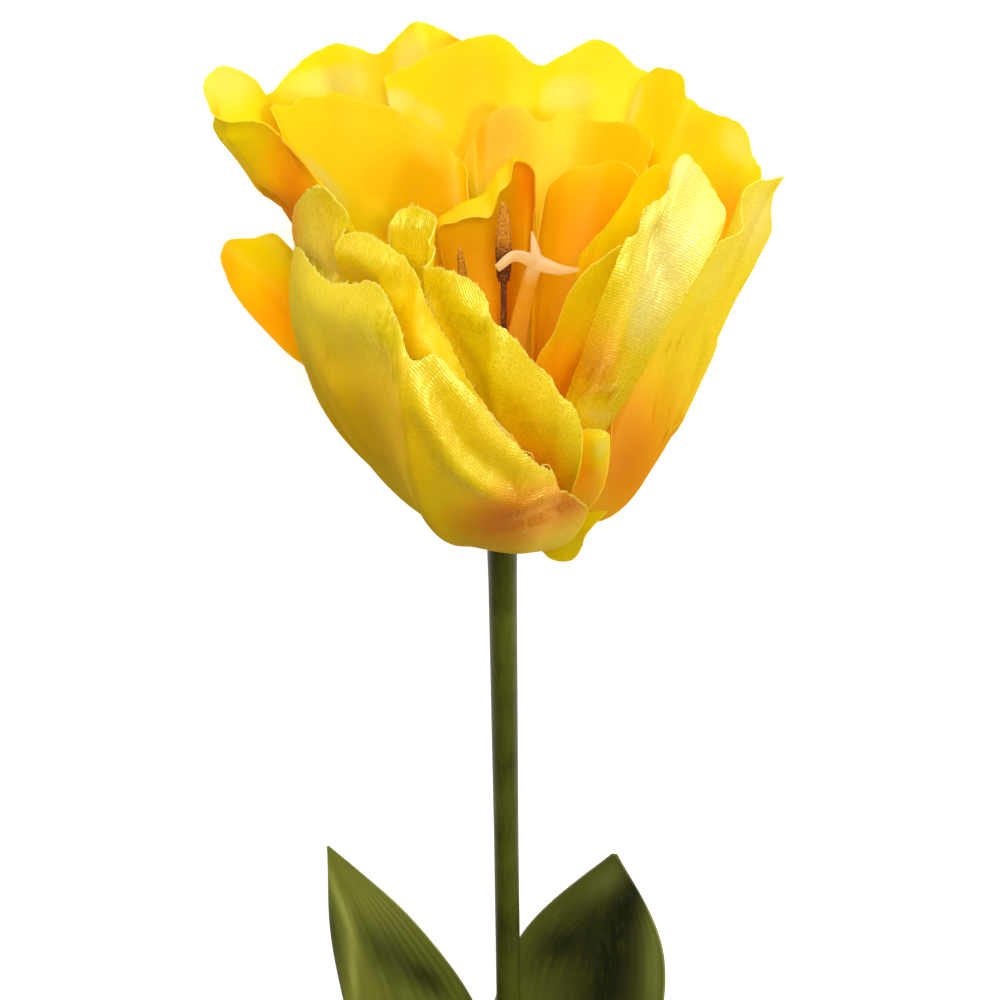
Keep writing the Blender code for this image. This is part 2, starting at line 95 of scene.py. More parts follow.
class DyeAndLight(Enum):
    """What a patch turns the satin to: its shares of gold (below 0 pale, also painted highlight), orange and
    orange darkened as painted shade.
    """

    # Undyed pale cloth, also used as painted highlight
    PALE_AND_HIGHLIGHT = (-1.0, 0.0, 0.0)
    LEMON = (0.0, 0.0, 0.0)
    GOLD = (1.0, 0.0, 0.0)
    AMBER = (1.0, 0.5, 0.0)
    ORANGE = (1.0, 1.0, 0.0)
    # Orange darkened as painted shade
    ORANGE_IN_SHADE = (1.0, 1.0, 1.0)


def seen(across: float, up: float, back: float) -> Vector:
    """Places a point by how the viewer sees it.

    Args:
        across: Millimetres to the right of the bloom's foot, at the foot's distance.
        up: Millimetres above it, as seen.
        back: Millimetres behind the stem's axis.

    Returns:
        The point of the upright flower.
    """
    sine, cosine = math.sin(VIEW_TILT), math.cos(VIEW_TILT)
    height = up * (1 + cosine * back / VIEW_DISTANCE) - sine * back
    height /= cosine + sine * up / VIEW_DISTANCE
    nearer = 1 + (cosine * back - sine * height) / VIEW_DISTANCE
    return Vector((across * nearer, back, height))


def around(azimuth: float, radius: float, height: float) -> Vector:
    """Places a point round the stem, where azimuth 0 faces the viewer and 90 is right.

    Args:
        azimuth: Degrees round the stem.
        radius: Millimetres from its axis.
        height: Millimetres above the bloom's foot.

    Returns:
        The point of the upright flower.
    """
    turn = math.radians(azimuth)
    return Vector((radius * math.sin(turn), -radius * math.cos(turn), height))


def on_stem(height: float) -> Vector:
    """Gives the stem's middle at a height, or the bloom's own middle above its foot."""
    return Vector((STEM_OFFSET - STEM_SLANT * height if height < 0 else 0.0, 0, height))


def as_viewed(points: np.ndarray) -> tuple[np.ndarray, np.ndarray]:
    """Gives where the viewer sees points of the upright flower.

    Args:
        points: An array whose last axis is x, y, z in millimetres.

    Returns:
        Their (across, up) places in millimetres, and their depths along the view.
    """
    depth = points @ np.array(VIEW_ALONG)
    nearer = 1 + depth / VIEW_DISTANCE
    across = points[..., 0] / nearer
    up = (points @ np.array(VIEW_UP)) / nearer
    return np.stack([across, up], axis=-1), depth


def smooth(values: tuple | list, s: float):
    """Gives the value at s of a smooth curve through values set at even distances.

    Args:
        values: Two or more numbers or vectors.
        s: The place along them, from 0 to 1.

    Returns:
        A number or a vector.
    """
    ends = [2 * values[0] - values[1], *values, 2 * values[-1] - values[-2]]
    at = min(int(s * (len(values) - 1)), len(values) - 2)
    u = s * (len(values) - 1) - at
    before, start, end, after = ends[at : at + 4]
    return 0.5 * (2 * start + (end - before) * u
                  + (2 * before - 5 * start + 4 * end - after) * u ** 2
                  + (3 * start - before - 3 * end + after) * u ** 3)


def spline(points: list[Vector], count: int) -> list[Vector]:
    """Gives points at even distances along a smooth curve.

    Args:
        points: The points that the curve goes through.
        count: How many steps to take along it.

    Returns:
        count + 1 points.
    """
    steps = 24 * (len(points) - 1)
    fine = [smooth(points, i / steps) for i in range(steps + 1)]
    lengths = [0.0]
    for a, b in zip(fine, fine[1:]):
        lengths.append(lengths[-1] + (b - a).length)
    found, at = [], 0
    for i in range(count + 1):
        target = lengths[-1] * i / count
        while at < len(lengths) - 2 and lengths[at + 1] < target:
            at += 1
        share = (target - lengths[at]) / max(lengths[at + 1] - lengths[at], 1e-9)
        found.append(fine[at].lerp(fine[at + 1], min(share, 1.0)))
    return found


def ripple(places: np.ndarray, wavelength: float, seed: int) -> np.ndarray:
    """Gives a smooth random wave, the same in each run.

    Args:
        places: Where it is read, in the wavelength's unit.
        wavelength: How far apart its knots are.
        seed: Which wave.

    Returns:
        Heights from -1 to 1, of the shape of places.
    """
    knots = np.random.default_rng(seed).uniform(-1, 1, 4096)
    at = places / wavelength + 2000
    low = np.floor(at).astype(int)
    share = at - low
    share = share * share * (3 - 2 * share)
    return knots[low % 4096] * (1 - share) + knots[(low + 1) % 4096] * share


def rising(values: np.ndarray, low: float, high: float) -> np.ndarray:
    """Gives 0 below low, 1 above high and a smooth step between.

    Args:
        values: What is measured.
        low: Where the step starts.
        high: Where it ends.

    Returns:
        Shares from 0 to 1.
    """
    share = np.clip((values - low) / (high - low), 0, 1)
    return share * share * (3 - 2 * share)


def patch(flat: np.ndarray, middle: tuple, size: tuple, turn: float) -> np.ndarray:
    """Gives how far points are inside a soft oval patch.

    Args:
        flat: The points as the viewer sees them.
        middle: The patch's middle.
        size: Its half length and half width.
        turn: The degrees that its length is turned up from the right.

    Returns:
        Shares from 0 far away to 1 in the middle.
    """
    angle = math.radians(turn)
    offset = flat - np.array(middle)
    long = offset[..., 0] * math.cos(angle) + offset[..., 1] * math.sin(angle)
    wide = offset[..., 1] * math.cos(angle) - offset[..., 0] * math.sin(angle)
    return np.exp(-((long / size[0]) ** 2 + (wide / size[1]) ** 2))


def linear(code: str) -> tuple[float, float, float, float]:
    """Turns an sRGB hex colour into the linear colour that Blender's sockets take.

    Args:
        code: The colour as "#RRGGBB".

    Returns:
        Red, green, blue and alpha.
    """
    shares = [int(code[i : i + 2], 16) / 255 for i in (1, 3, 5)]
    made = [((c + 0.055) / 1.055) ** 2.4 if c > 0.04045 else c / 12.92 for c in shares]
    return (*made, 1.0)


def add_node(tree: bpy.types.NodeTree, kind: str, inputs: dict | None = None, **settings) -> bpy.types.Node:
    """Adds a node with its settings and links.

    Args:
        tree: The material's or the world's node tree.
        kind: The node's type.
        inputs: Its sockets by name or number, each with a value, or with the socket that feeds it. A node
            stands for its first output.
        **settings: Its own properties.

    Returns:
        The node.
    """
    node = tree.nodes.new(kind)
    for name, value in settings.items():
        setattr(node, name, value)
    for name, value in (inputs or {}).items():
        if isinstance(value, bpy.types.Node):
            value = value.outputs[0]
        if isinstance(value, bpy.types.NodeSocket):
            tree.links.new(value, node.inputs[name])
        else:
            node.inputs[name].default_value = value
    return node


def new_material(name: str) -> tuple[bpy.types.Material, bpy.types.NodeTree]:
    """Makes an empty node material.

    Args:
        name: What the finish is called.

    Returns:
        The material and its tree.
    """
    made = bpy.data.materials.new(name)
    made.use_nodes = True
    made.node_tree.nodes.clear()
    return made, made.node_tree


@dataclass(frozen=True)
class Satin:
    """Polyester satin, woven, dip-dyed from lemon to orange and pressed into shape with heat.

    Its long floats lie side by side in fine slanting lines that glint where the cloth turns to the light,
    and it is thin enough to glow with the light behind it. The hot knife leaves a pale melted rim.
    """

    name: str = "heat-formed polyester satin"
    # pale is the undyed cloth, also laid on as painted highlight
    pale: str = "#F8F0A0"
    lemon: str = "#F2E004"
    gold: str = "#FFDA00"
    orange: str = "#FFBC0A"
    # An orange darkened as painted shade, for cloth turned from the light
    orange_in_shade: str = "#DE7E10"
    rim: str = "#EEE862"
    shine: str = "#FFF296"
    # Dyeing is uneven: the colour takes in clouds
    cloud_mm: float = 9.0
    cloudiness: float = 0.2
    # The real threads are about 0.1 mm apart, too fine to show, so the lines are drawn at four times that
    line_mm: float = 0.42
    float_mm: float = 0.6
    sway_mm: float = 0.45
    sways_per_mm: float = 0.45
    # Which values of the glint noise lift a float from its lowest to its full height
    glint: tuple = (0.38, 0.6)
    lowest: float = 0.15
    relief_mm: float = 0.05
    # What each is between the lines, and on them; shade paints the grooves between the lines darker and the
    # floats lighter
    shade: tuple = (0.97, 1.06)
    roughness: tuple = (0.42, 0.3)
    gleam: tuple = (0.45, 1.4)
    # The gloss where the cloth is pressed matt, and where the weave is at its clearest
    gloss: tuple = (0.02, 0.16)
    let_through: float = 0.5
    # Where the melted rim starts to fade and where it ends, and how much of the cloth it covers
    melted_mm: tuple = (0.08, 0.4)
    melted: float = 0.75

    def dyed(self, tree: bpy.types.NodeTree) -> bpy.types.NodeSocket:
        """Mixes the cloth's colour from the shares that each point of a petal carries: its dyed colours, the
        pale of painted highlights and the darkened orange of painted shade.

        Args:
            tree: The material's node tree.

        Returns:
            The colour's socket.
        """
        spot = add_node(tree, "ShaderNodeTexCoord").outputs["Object"]
        cloud = add_node(tree, "ShaderNodeTexNoise",
                         {"Vector": spot, "Scale": 1000 / self.cloud_mm, "Detail": 3.0})
        drift = add_node(tree, "ShaderNodeMath", {0: cloud, 1: 0.5}, operation="SUBTRACT")
        dye = add_node(tree, "ShaderNodeAttribute", attribute_name="dye").outputs["Vector"]
        shares = add_node(tree, "ShaderNodeSeparateXYZ", {"Vector": dye})
        # Below 0 the gold share turns the lemon pale: undyed on the loose threads, painted highlight on the
        # petals
        bare = add_node(tree, "ShaderNodeMapRange", {"Value": shares, "From Min": 0.0, "From Max": -1.0})
        colour = add_node(tree, "ShaderNodeMix", {0: bare, 6: linear(self.lemon), 7: linear(self.pale)},
                          data_type="RGBA").outputs[2]
        for i, code in enumerate((self.gold, self.orange, self.orange_in_shade)):
            spread = add_node(tree, "ShaderNodeMath", {0: drift, 1: self.cloudiness, 2: shares.outputs[i]},
                              operation="MULTIPLY_ADD", use_clamp=True)
            colour = add_node(tree, "ShaderNodeMix", {0: spread, 6: colour, 7: linear(code)},
                              data_type="RGBA").outputs[2]
        return colour

    def twill(self, tree: bpy.types.NodeTree, cloth: bpy.types.NodeSocket) -> bpy.types.Node:
        """Draws the slanting lines, each broken along its length into floats of its own.

        Args:
            tree: The material's node tree.
            cloth: The place on the flat cloth, in millimetres along and across the lines.

        Returns:
            The node that gives the floats' height, from 0 to 1.
        """
        place = add_node(tree, "ShaderNodeSeparateXYZ", {"Vector": cloth})
        sway = add_node(tree, "ShaderNodeTexNoise",
                        {"Vector": cloth, "Scale": self.sways_per_mm, "Detail": 2.0})
        swung = add_node(tree, "ShaderNodeMath", {0: sway, 1: self.sway_mm, 2: place.outputs["Y"]},
                         operation="MULTIPLY_ADD")
        count = add_node(tree, "ShaderNodeMath", {0: swung, 1: self.line_mm}, operation="DIVIDE")
        phase = add_node(tree, "ShaderNodeMath", {0: count, 1: 0.5}, operation="PINGPONG")
        ridge = add_node(tree, "ShaderNodeMapRange", {"Value": phase, "From Max": 0.5},
                         interpolation_type="SMOOTHSTEP")
        row = add_node(tree, "ShaderNodeMath", {0: count}, operation="FLOOR")
        # Far enough from its neighbour's noise that each line's floats start where they like
        apart = add_node(tree, "ShaderNodeMath", {0: row, 1: 7.31}, operation="MULTIPLY")
        run = add_node(tree, "ShaderNodeMath", {0: place.outputs["X"], 1: self.float_mm}, operation="DIVIDE")
        spool = add_node(tree, "ShaderNodeCombineXYZ", {"X": run, "Y": apart})
        glint = add_node(tree, "ShaderNodeTexNoise", {"Vector": spool, "Scale": 1.0, "Detail": 1.0})
        raised = add_node(tree, "ShaderNodeMapRange",
                          {"Value": glint, "From Min": self.glint[0], "From Max": self.glint[1],
                           "To Min": self.lowest, "To Max": 1.0})
        return add_node(tree, "ShaderNodeMath", {0: ridge, 1: raised}, operation="MULTIPLY")

    def material(self) -> bpy.types.Material:
        """Makes the node material. It reads the petals' own "cloth", "dye" and "weave" attributes.

        Returns:
            The material.
        """
        made, tree = new_material(self.name)
        cloth = add_node(tree, "ShaderNodeAttribute", attribute_name="cloth").outputs["Vector"]
        weave = add_node(tree, "ShaderNodeAttribute", attribute_name="weave").outputs["Fac"]
        floats = add_node(tree, "ShaderNodeMath", {0: self.twill(tree, cloth), 1: weave},
                          operation="MULTIPLY")
        shade, rough, gleam = (
            add_node(tree, "ShaderNodeMapRange", {"Value": floats, "To Min": between, "To Max": on_line})
            for between, on_line in (self.shade, self.roughness, self.gleam)
        )
        # Painted shade in the grooves between the lines, and a little painted light on the floats
        woven = add_node(tree, "ShaderNodeVectorMath", {0: self.dyed(tree), 1: shade}, operation="MULTIPLY")
        from_edge = add_node(tree, "ShaderNodeSeparateXYZ", {"Vector": cloth}).outputs["Z"]
        melted = add_node(tree, "ShaderNodeMapRange",
                          {"Value": from_edge, "From Min": self.melted_mm[0], "From Max": self.melted_mm[1],
                           "To Min": self.melted, "To Max": 0.0})
        melt_share = add_node(tree, "ShaderNodeMath", {0: melted, 1: weave}, operation="MULTIPLY")
        finish = add_node(tree, "ShaderNodeMix", {0: melt_share, 6: woven, 7: linear(self.rim)},
                          data_type="RGBA").outputs[2]
        relief = add_node(tree, "ShaderNodeBump",
                          {"Height": floats, "Strength": 0.5, "Distance": self.relief_mm * MM})
        body = add_node(tree, "ShaderNodeBsdfPrincipled",
                        {"Base Color": finish, "Roughness": rough, "Specular IOR Level": 0.0,
                         "Normal": relief})
        glow = add_node(tree, "ShaderNodeBsdfTranslucent", {"Color": finish, "Normal": relief})
        both = add_node(tree, "ShaderNodeMixShader", {0: self.let_through, 1: body, 2: glow})
        glossy = add_node(tree, "ShaderNodeVectorMath", {0: linear(self.shine)[:3], 1: gleam},
                          operation="MULTIPLY")
        shine = add_node(tree, "ShaderNodeBsdfAnisotropic",
                         {"Color": glossy, "Roughness": rough, "Normal": relief})
        coat = add_node(tree, "ShaderNodeMapRange",
                        {"Value": weave, "To Min": self.gloss[0], "To Max": self.gloss[1]})
        glossed = add_node(tree, "ShaderNodeMixShader", {0: coat, 1: both, 2: shine})
        add_node(tree, "ShaderNodeOutputMaterial", {"Surface": glossed})
        return made


@dataclass(frozen=True)
class StemCoating:
    """Olive PVC drawn over wire: an even, slightly greasy sheen with faint lengthwise drawing lines."""

    name: str = "extruded PVC stem coating"
    shade: str = "#343608"
    light: str = "#565A16"
    cloud_mm: float = 14.3
    line_mm: float = 0.5
    line_length_mm: float = 83.3
    line_share: float = 0.35
    relief_mm: float = 0.05
    roughness: float = 0.42

    def material(self) -> bpy.types.Material:
        """Makes the node material.

        Returns:
            The material.
        """
        made, tree = new_material(self.name)
        spot = add_node(tree, "ShaderNodeTexCoord").outputs["Object"]
        cloud = add_node(tree, "ShaderNodeTexNoise",
                         {"Vector": spot, "Scale": 1000 / self.cloud_mm, "Detail": 4.0})
        fine, long = 1000 / self.line_mm, 1000 / self.line_length_mm
        drawn = add_node(tree, "ShaderNodeMapping", {"Vector": spot, "Scale": (fine, long, fine)})
        lines = add_node(tree, "ShaderNodeTexNoise", {"Vector": drawn, "Scale": 1.0})
        blend = add_node(tree, "ShaderNodeMath", {0: lines, 1: self.line_share, 2: cloud},
                         operation="MULTIPLY_ADD")
        share = add_node(tree, "ShaderNodeMapRange", {"Value": blend, "From Min": 0.45, "From Max": 0.95})
        colour = add_node(tree, "ShaderNodeMix", {0: share, 6: linear(self.shade), 7: linear(self.light)},
                          data_type="RGBA").outputs[2]
        relief = add_node(tree, "ShaderNodeBump",
                          {"Height": lines, "Strength": 0.25, "Distance": self.relief_mm * MM})
        surface = add_node(tree, "ShaderNodeBsdfPrincipled",
                           {"Base Color": colour, "Roughness": self.roughness, "Specular IOR Level": 0.12,
                            "Normal": relief})
        add_node(tree, "ShaderNodeOutputMaterial", {"Surface": surface})
        return made


@dataclass(frozen=True)
class BareWire:
    """Galvanised wire, cut with pliers: a small dull grey disc in the stem's end."""

    name: str = "galvanised iron wire, cropped"
    colour: str = "#8E8C86"
    grain_mm: float = 0.25
    roughness: tuple = (0.3, 0.6)

    def material(self) -> bpy.types.Material:
        """Makes the node material.

        Returns:
            The material.
        """
        made, tree = new_material(self.name)
        spot = add_node(tree, "ShaderNodeTexCoord").outputs["Object"]
        grain = add_node(tree, "ShaderNodeTexNoise", {"Vector": spot, "Scale": 1000 / self.grain_mm})
        rough = add_node(tree, "ShaderNodeMapRange",
                         {"Value": grain, "To Min": self.roughness[0], "To Max": self.roughness[1]})
        surface = add_node(tree, "ShaderNodeBsdfPrincipled",
                           {"Base Color": linear(self.colour), "Metallic": 1.0, "Roughness": rough})
        add_node(tree, "ShaderNodeOutputMaterial", {"Surface": surface})
        return made


@dataclass(frozen=True)
class LeafCloth:
    """Printed polyester cloth pressed with veins: dull olive mottled in clouds and streaks, with painted
    shade in its hollows and painted light along its margins.
    """

    name: str = "printed polyester leaf cloth"
    # light is the colour of the painted light and dark that of the painted shade, laid over the green by the
    # leaves' patches
    light: str = "#8C9040"
    green: str = "#62661C"
    dark: str = "#0E1002"
    cloud_mm: float = 6.25
    streak_mm: float = 1.5
    streak_length_mm: float = 16.7
    # How much the clouds and streaks mottle the green towards the painted shade's colour and towards the
    # painted light's
    painted_shade_mottle: float = 0.55
    painted_light_mottle: float = 0.3
    # The real threads are too fine to show, so the weave is drawn coarser
    weave_mm: float = 0.4
    relief_mm: float = 0.06
    roughness: float = 0.55

    def material(self) -> bpy.types.Material:
        """Makes the node material. It reads the leaves' own "cloth" and "dye" attributes.

        Returns:
            The material.
        """
        made, tree = new_material(self.name)
        cloth = add_node(tree, "ShaderNodeAttribute", attribute_name="cloth").outputs["Vector"]
        dye = add_node(tree, "ShaderNodeAttribute", attribute_name="dye").outputs["Vector"]
        shares = add_node(tree, "ShaderNodeSeparateXYZ", {"Vector": dye})
        spot = add_node(tree, "ShaderNodeTexCoord").outputs["Object"]
        cloud = add_node(tree, "ShaderNodeTexNoise",
                         {"Vector": spot, "Scale": 1000 / self.cloud_mm, "Detail": 4.0})
        streaked = add_node(tree, "ShaderNodeMapping",
                            {"Vector": cloth, "Scale": (1 / self.streak_mm, 1 / self.streak_length_mm, 1.0)})
        streaks = add_node(tree, "ShaderNodeTexNoise", {"Vector": streaked, "Scale": 1.0})
        mottle = add_node(tree, "ShaderNodeMath", {0: cloud, 1: streaks}, operation="ADD")
        drift = add_node(tree, "ShaderNodeMath", {0: mottle, 1: 1.0}, operation="SUBTRACT")
        colour = linear(self.green)
        # The leaves' patches lay on painted shade, then painted light, each mottled by the clouds and streaks
        for i, (amount, code) in enumerate(((self.painted_shade_mottle, self.dark), (self.painted_light_mottle, self.light))):
            share = add_node(tree, "ShaderNodeMath", {0: drift, 1: amount, 2: shares.outputs[i]},
                             operation="MULTIPLY_ADD", use_clamp=True)
            colour = add_node(tree, "ShaderNodeMix", {0: share, 6: colour, 7: linear(code)},
                              data_type="RGBA").outputs[2]
        weave = add_node(tree, "ShaderNodeTexBrick",
                         {"Vector": cloth, "Color1": (1, 1, 1, 1), "Color2": (0.7, 0.7, 0.7, 1),
                          "Mortar": (0.2, 0.2, 0.2, 1), "Scale": 1.0, "Mortar Size": 0.1,
                          "Mortar Smooth": 1.0, "Brick Width": self.weave_mm, "Row Height": self.weave_mm})
        relief = add_node(tree, "ShaderNodeBump",
                          {"Height": weave, "Strength": 0.3, "Distance": self.relief_mm * MM})
        surface = add_node(tree, "ShaderNodeBsdfPrincipled",
                           {"Base Color": colour, "Roughness": self.roughness, "Specular IOR Level": 0.15,
                            "Normal": relief})
        add_node(tree, "ShaderNodeOutputMaterial", {"Surface": surface})
        return made


@dataclass(frozen=True)
class Flock:
    """Short flock glued to plastic anthers: matt and grainy, golden at the tip and dark brown below it."""

    name: str = "brown nylon flock on plastic"
    brown: str = "#5C2400"
    pale: str = "#D08A14"
    grain_mm: float = 0.35
    dusting: float = 1.8
    relief_mm: float = 0.15
    roughness: float = 0.8

    def material(self) -> bpy.types.Material:
        """Makes the node material. It reads the stamens' own "gilt" attribute.

        Returns:
            The material.
        """
        made, tree = new_material(self.name)
        gilt = add_node(tree, "ShaderNodeAttribute", attribute_name="gilt").outputs["Fac"]
        spot = add_node(tree, "ShaderNodeTexCoord").outputs["Object"]
        grain = add_node(tree, "ShaderNodeTexNoise",
                         {"Vector": spot, "Scale": 1000 / self.grain_mm, "Detail": 2.0})
        spread = add_node(tree, "ShaderNodeMath", {0: grain, 1: 0.5}, operation="SUBTRACT")
        dusted = add_node(tree, "ShaderNodeMath", {0: spread, 1: self.dusting, 2: gilt},
                          operation="MULTIPLY_ADD", use_clamp=True)
        colour = add_node(tree, "ShaderNodeMix", {0: dusted, 6: linear(self.brown), 7: linear(self.pale)},
                          data_type="RGBA").outputs[2]
        relief = add_node(tree, "ShaderNodeBump",
                          {"Height": grain, "Strength": 0.8, "Distance": self.relief_mm * MM})
        surface = add_node(tree, "ShaderNodeBsdfPrincipled",
                           {"Base Color": colour, "Roughness": self.roughness, "Normal": relief})
        add_node(tree, "ShaderNodeOutputMaterial", {"Surface": surface})
        return made


@dataclass(frozen=True)
class SoftPlastic:
    """Injection-moulded soft plastic, cloudy and translucent, pale at the stigma and yellower below it."""

    name: str = "translucent moulded PVC"
    colour: str = "#FFEDBE"
    deep: str = "#FFD244"
    cloud_mm: float = 3.85
    cloudiness: float = 0.5
    relief_mm: float = 0.2
    roughness: float = 0.22
    coat: float = 0.3
    clear: float = 0.6
    ior: float = 1.35
    let_through: float = 0.45

    def material(self) -> bpy.types.Material:
        """Makes the node material. It reads the pistil's own "depth" attribute.

        Returns:
            The material.
        """
        made, tree = new_material(self.name)
        depth = add_node(tree, "ShaderNodeAttribute", attribute_name="depth").outputs["Fac"]
        spot = add_node(tree, "ShaderNodeTexCoord").outputs["Object"]
        cloud = add_node(tree, "ShaderNodeTexNoise",
                         {"Vector": spot, "Scale": 1000 / self.cloud_mm, "Detail": 2.0})
        drift = add_node(tree, "ShaderNodeMath", {0: cloud, 1: 0.5}, operation="SUBTRACT")
        share = add_node(tree, "ShaderNodeMath", {0: drift, 1: self.cloudiness, 2: depth},
                         operation="MULTIPLY_ADD", use_clamp=True)
        colour = add_node(tree, "ShaderNodeMix", {0: share, 6: linear(self.colour), 7: linear(self.deep)},
                          data_type="RGBA").outputs[2]
        relief = add_node(tree, "ShaderNodeBump",
                          {"Height": cloud, "Strength": 0.3, "Distance": self.relief_mm * MM})
        surface = add_node(tree, "ShaderNodeBsdfPrincipled",
                           {"Base Color": colour, "Roughness": self.roughness, "Coat Weight": self.coat,
                            "Transmission Weight": self.clear, "IOR": self.ior, "Normal": relief})
        glow = add_node(tree, "ShaderNodeBsdfTranslucent", {"Color": colour})
        both = add_node(tree, "ShaderNodeMixShader", {0: self.let_through, 1: surface, 2: glow})
        add_node(tree, "ShaderNodeOutputMaterial", {"Surface": both})
        return made


def only(made: bpy.types.Object) -> None:
    """Selects one object alone and makes it active, so that operators act on nothing else.

    Args:
        made: The object.
    """
    bpy.ops.object.select_all(action="DESELECT")
    made.select_set(True)
    bpy.context.view_layer.objects.active = made


def lay_down(made: bpy.types.Object) -> None:
    """Takes a mesh from the upright flower, in millimetres, to where it lies, in metres."""
    made.data.transform(Matrix.Scale(MM, 4) @ LYING)
    made.data.update()


def hand_over(made: bpy.types.Object, slot: Slot, material: bpy.types.Material, *nodes: str) -> None:
    """Gives a finished piece its material and its body, and hides the CAD nodes that it stands for.

    Args:
        made: The piece, in the row frame.
        slot: The record's slot that its finish belongs to; not used.
        material: The finish.
        *nodes: The CAD nodes that it replaces.
    """
    made.data.materials.clear()
    made.data.materials.append(material)
    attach(made, "root")
    if nodes:
        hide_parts(*nodes)
    LOG.info("%s: %d faces", made.name, len(made.data.polygons))


def add_attribute(made: bpy.types.Object, name: str, values: np.ndarray) -> None:
    """Keeps a vector or a number for each vertex of a mesh.

    Args:
        made: The mesh object.
        name: The attribute's name.
        values: Three numbers for each vertex of a grid, or one.
    """
    if values.shape[-1] == 3:
        attribute = made.data.attributes.new(name, "FLOAT_VECTOR", "POINT")
        attribute.data.foreach_set("vector", values.astype(np.float32).ravel())
    else:
        attribute = made.data.attributes.new(name, "FLOAT", "POINT")
        attribute.data.foreach_set("value", values.astype(np.float32).ravel())


def cloth_sheet(name: str, grid: np.ndarray, thickness: float, **attributes: np.ndarray) -> bpy.types.Object:
    """Makes a closed sheet of even thickness from a grid primitive whose points are moved into place.

    Args:
        name: The object's name.
        grid: Its points in millimetres, as rows of columns.
        thickness: The sheet's thickness in millimetres.
        **attributes: What its material reads at each point, such as its place on the flat cloth.

    Returns:
        The object, laid down.
    """
    rows, columns = grid.shape[:2]
    bpy.ops.object.select_all(action="DESELECT")
    bpy.ops.mesh.primitive_grid_add(x_subdivisions=columns - 1, y_subdivisions=rows - 1, size=1)
    made = bpy.context.object
    made.name = made.data.name = name
    made.data.vertices.foreach_set("co", grid.reshape(-1, 3).astype(np.float32).ravel())
    for kind, values in attributes.items():
        add_attribute(made, kind, values)
    wall = made.modifiers.new("Thickness", "SOLIDIFY")
    wall.thickness = thickness
    wall.offset = 0
    wall.use_quality_normals = True
    bpy.ops.object.modifier_apply(modifier=wall.name)
    only(made)
    bpy.ops.object.shade_smooth_by_angle(angle=math.radians(60))
    lay_down(made)
    return made


def strands(name: str, lines: list, radii: list, sides: int) -> bpy.types.Object:
    """Draws curves with a round section and makes them one mesh.

    Args:
        name: The object's name.
        lines: The points that each curve follows, in millimetres.
        radii: Each curve's radius at each of its points.
        sides: The section's resolution.

    Returns:
        The mesh object, of closed rods, still upright.
    """
    data = bpy.data.curves.new(name, "CURVE")
    data.dimensions = "3D"
    data.bevel_depth = 1.0
    data.bevel_resolution = sides
    data.use_fill_caps = True
    for points, widths in zip(lines, radii):
        line = data.splines.new("POLY")
        line.points.add(len(points) - 1)
        for spot, point, radius in zip(line.points, points, widths):
            spot.co = (*point, 1)
            spot.radius = radius
    made = bpy.data.objects.new(name, data)
    bpy.context.scene.collection.objects.link(made)
    only(made)
    bpy.ops.object.convert(target="MESH")
    return bpy.context.object


def rod(name: str, points: list[Vector], radii: list[float], sides: int = 3) -> bpy.types.Object:
    """Draws one curve with a round section and makes it a closed mesh."""
    return strands(name, [points], [radii], sides)


def fuse(parts: list[bpy.types.Object], name: str) -> bpy.types.Object:
    """Joins several meshes into one object.

    Args:
        parts: The meshes.
        name: The joined object's name.

    Returns:
        The object.
    """
    bpy.ops.object.select_all(action="DESELECT")
    for part in parts:
        part.select_set(True)
    bpy.context.view_layer.objects.active = parts[0]
    bpy.ops.object.join()
    made = bpy.context.object
    made.name = made.data.name = name
    return made


def melt(made: bpy.types.Object, voxel: float, rounds: int) -> None:
    """Melts overlapping parts into one skin and softens it.

    Args:
        made: The object, in millimetres.
        voxel: The remesh's cell in millimetres.
        rounds: How often it is smoothed.
    """
    only(made)
    skin = made.modifiers.new("One skin", "REMESH")
    skin.mode = "VOXEL"
    skin.voxel_size = voxel
    bpy.ops.object.modifier_apply(modifier=skin.name)
    soft = made.modifiers.new("Soft edges", "SMOOTH")
    soft.iterations = rounds
    bpy.ops.object.modifier_apply(modifier=soft.name)
    made.data.shade_smooth()


@dataclass(frozen=True)
class Wave:
    """A random wave along a petal's rim, in millimetres, which dies away down the petal."""

    height: float
    length: float
    reach: float
    # Which of the petal's random draws it takes
    draw: int

    def heights(self, run: np.ndarray, edge: np.ndarray, seed: int) -> np.ndarray:
        """Gives the wave's heights.

        Args:
            run: How far along the rim the points are.
            edge: How far below the rim they are.
            seed: Which petal this is.

        Returns:
            How far each point is moved, in millimetres.
        """
        return self.height * ripple(run, self.length, seed + self.draw) * np.exp(-(edge / self.reach) ** 2)


# What the hot knife and the press leave along a rim. Ruffles lift it out of the cloth's plane, by shares of
# the petal's own ruffle, nicks move it within the plane, and fraying is a fine nick where the weave shows
RUFFLES = (Wave(1.0, 4.6, 6.0, 0), Wave(0.35, 1.7, 1.5, 50))
NICKS = (Wave(0.12, 0.7, 0.9, 150), Wave(0.22, 2.7, 0.9, 200))
FRAYING = Wave(0.16, 0.4, 0.9, 250)
# Faint creases run up a petal, this many across it. They and all that is pressed into it fade in on the way
# up from the claw, between these shares of the way
CREASES = 14
CREASE_DRAW = 100
CREASES_FADE_IN = (0.1, 0.4)
PRESS_FADES_IN = (0.02, 0.25)

# The row, as a share of the way up, at which a petal's fan of cloth is measured, and where its flat places
# start, so that they stay above 0
WIDEST_AT = 0.6
CLOTH_START = 200

# A loose end's length and how far it is rooted in the cloth, and how high a stray lies off the rim and arches
THREAD_DRAW = 400
THREAD_REACH = (0.15, 0.4)
THREAD_ROOT = 0.15
STRAY_LIFT = 0.1
STRAY_ARCH = 0.6


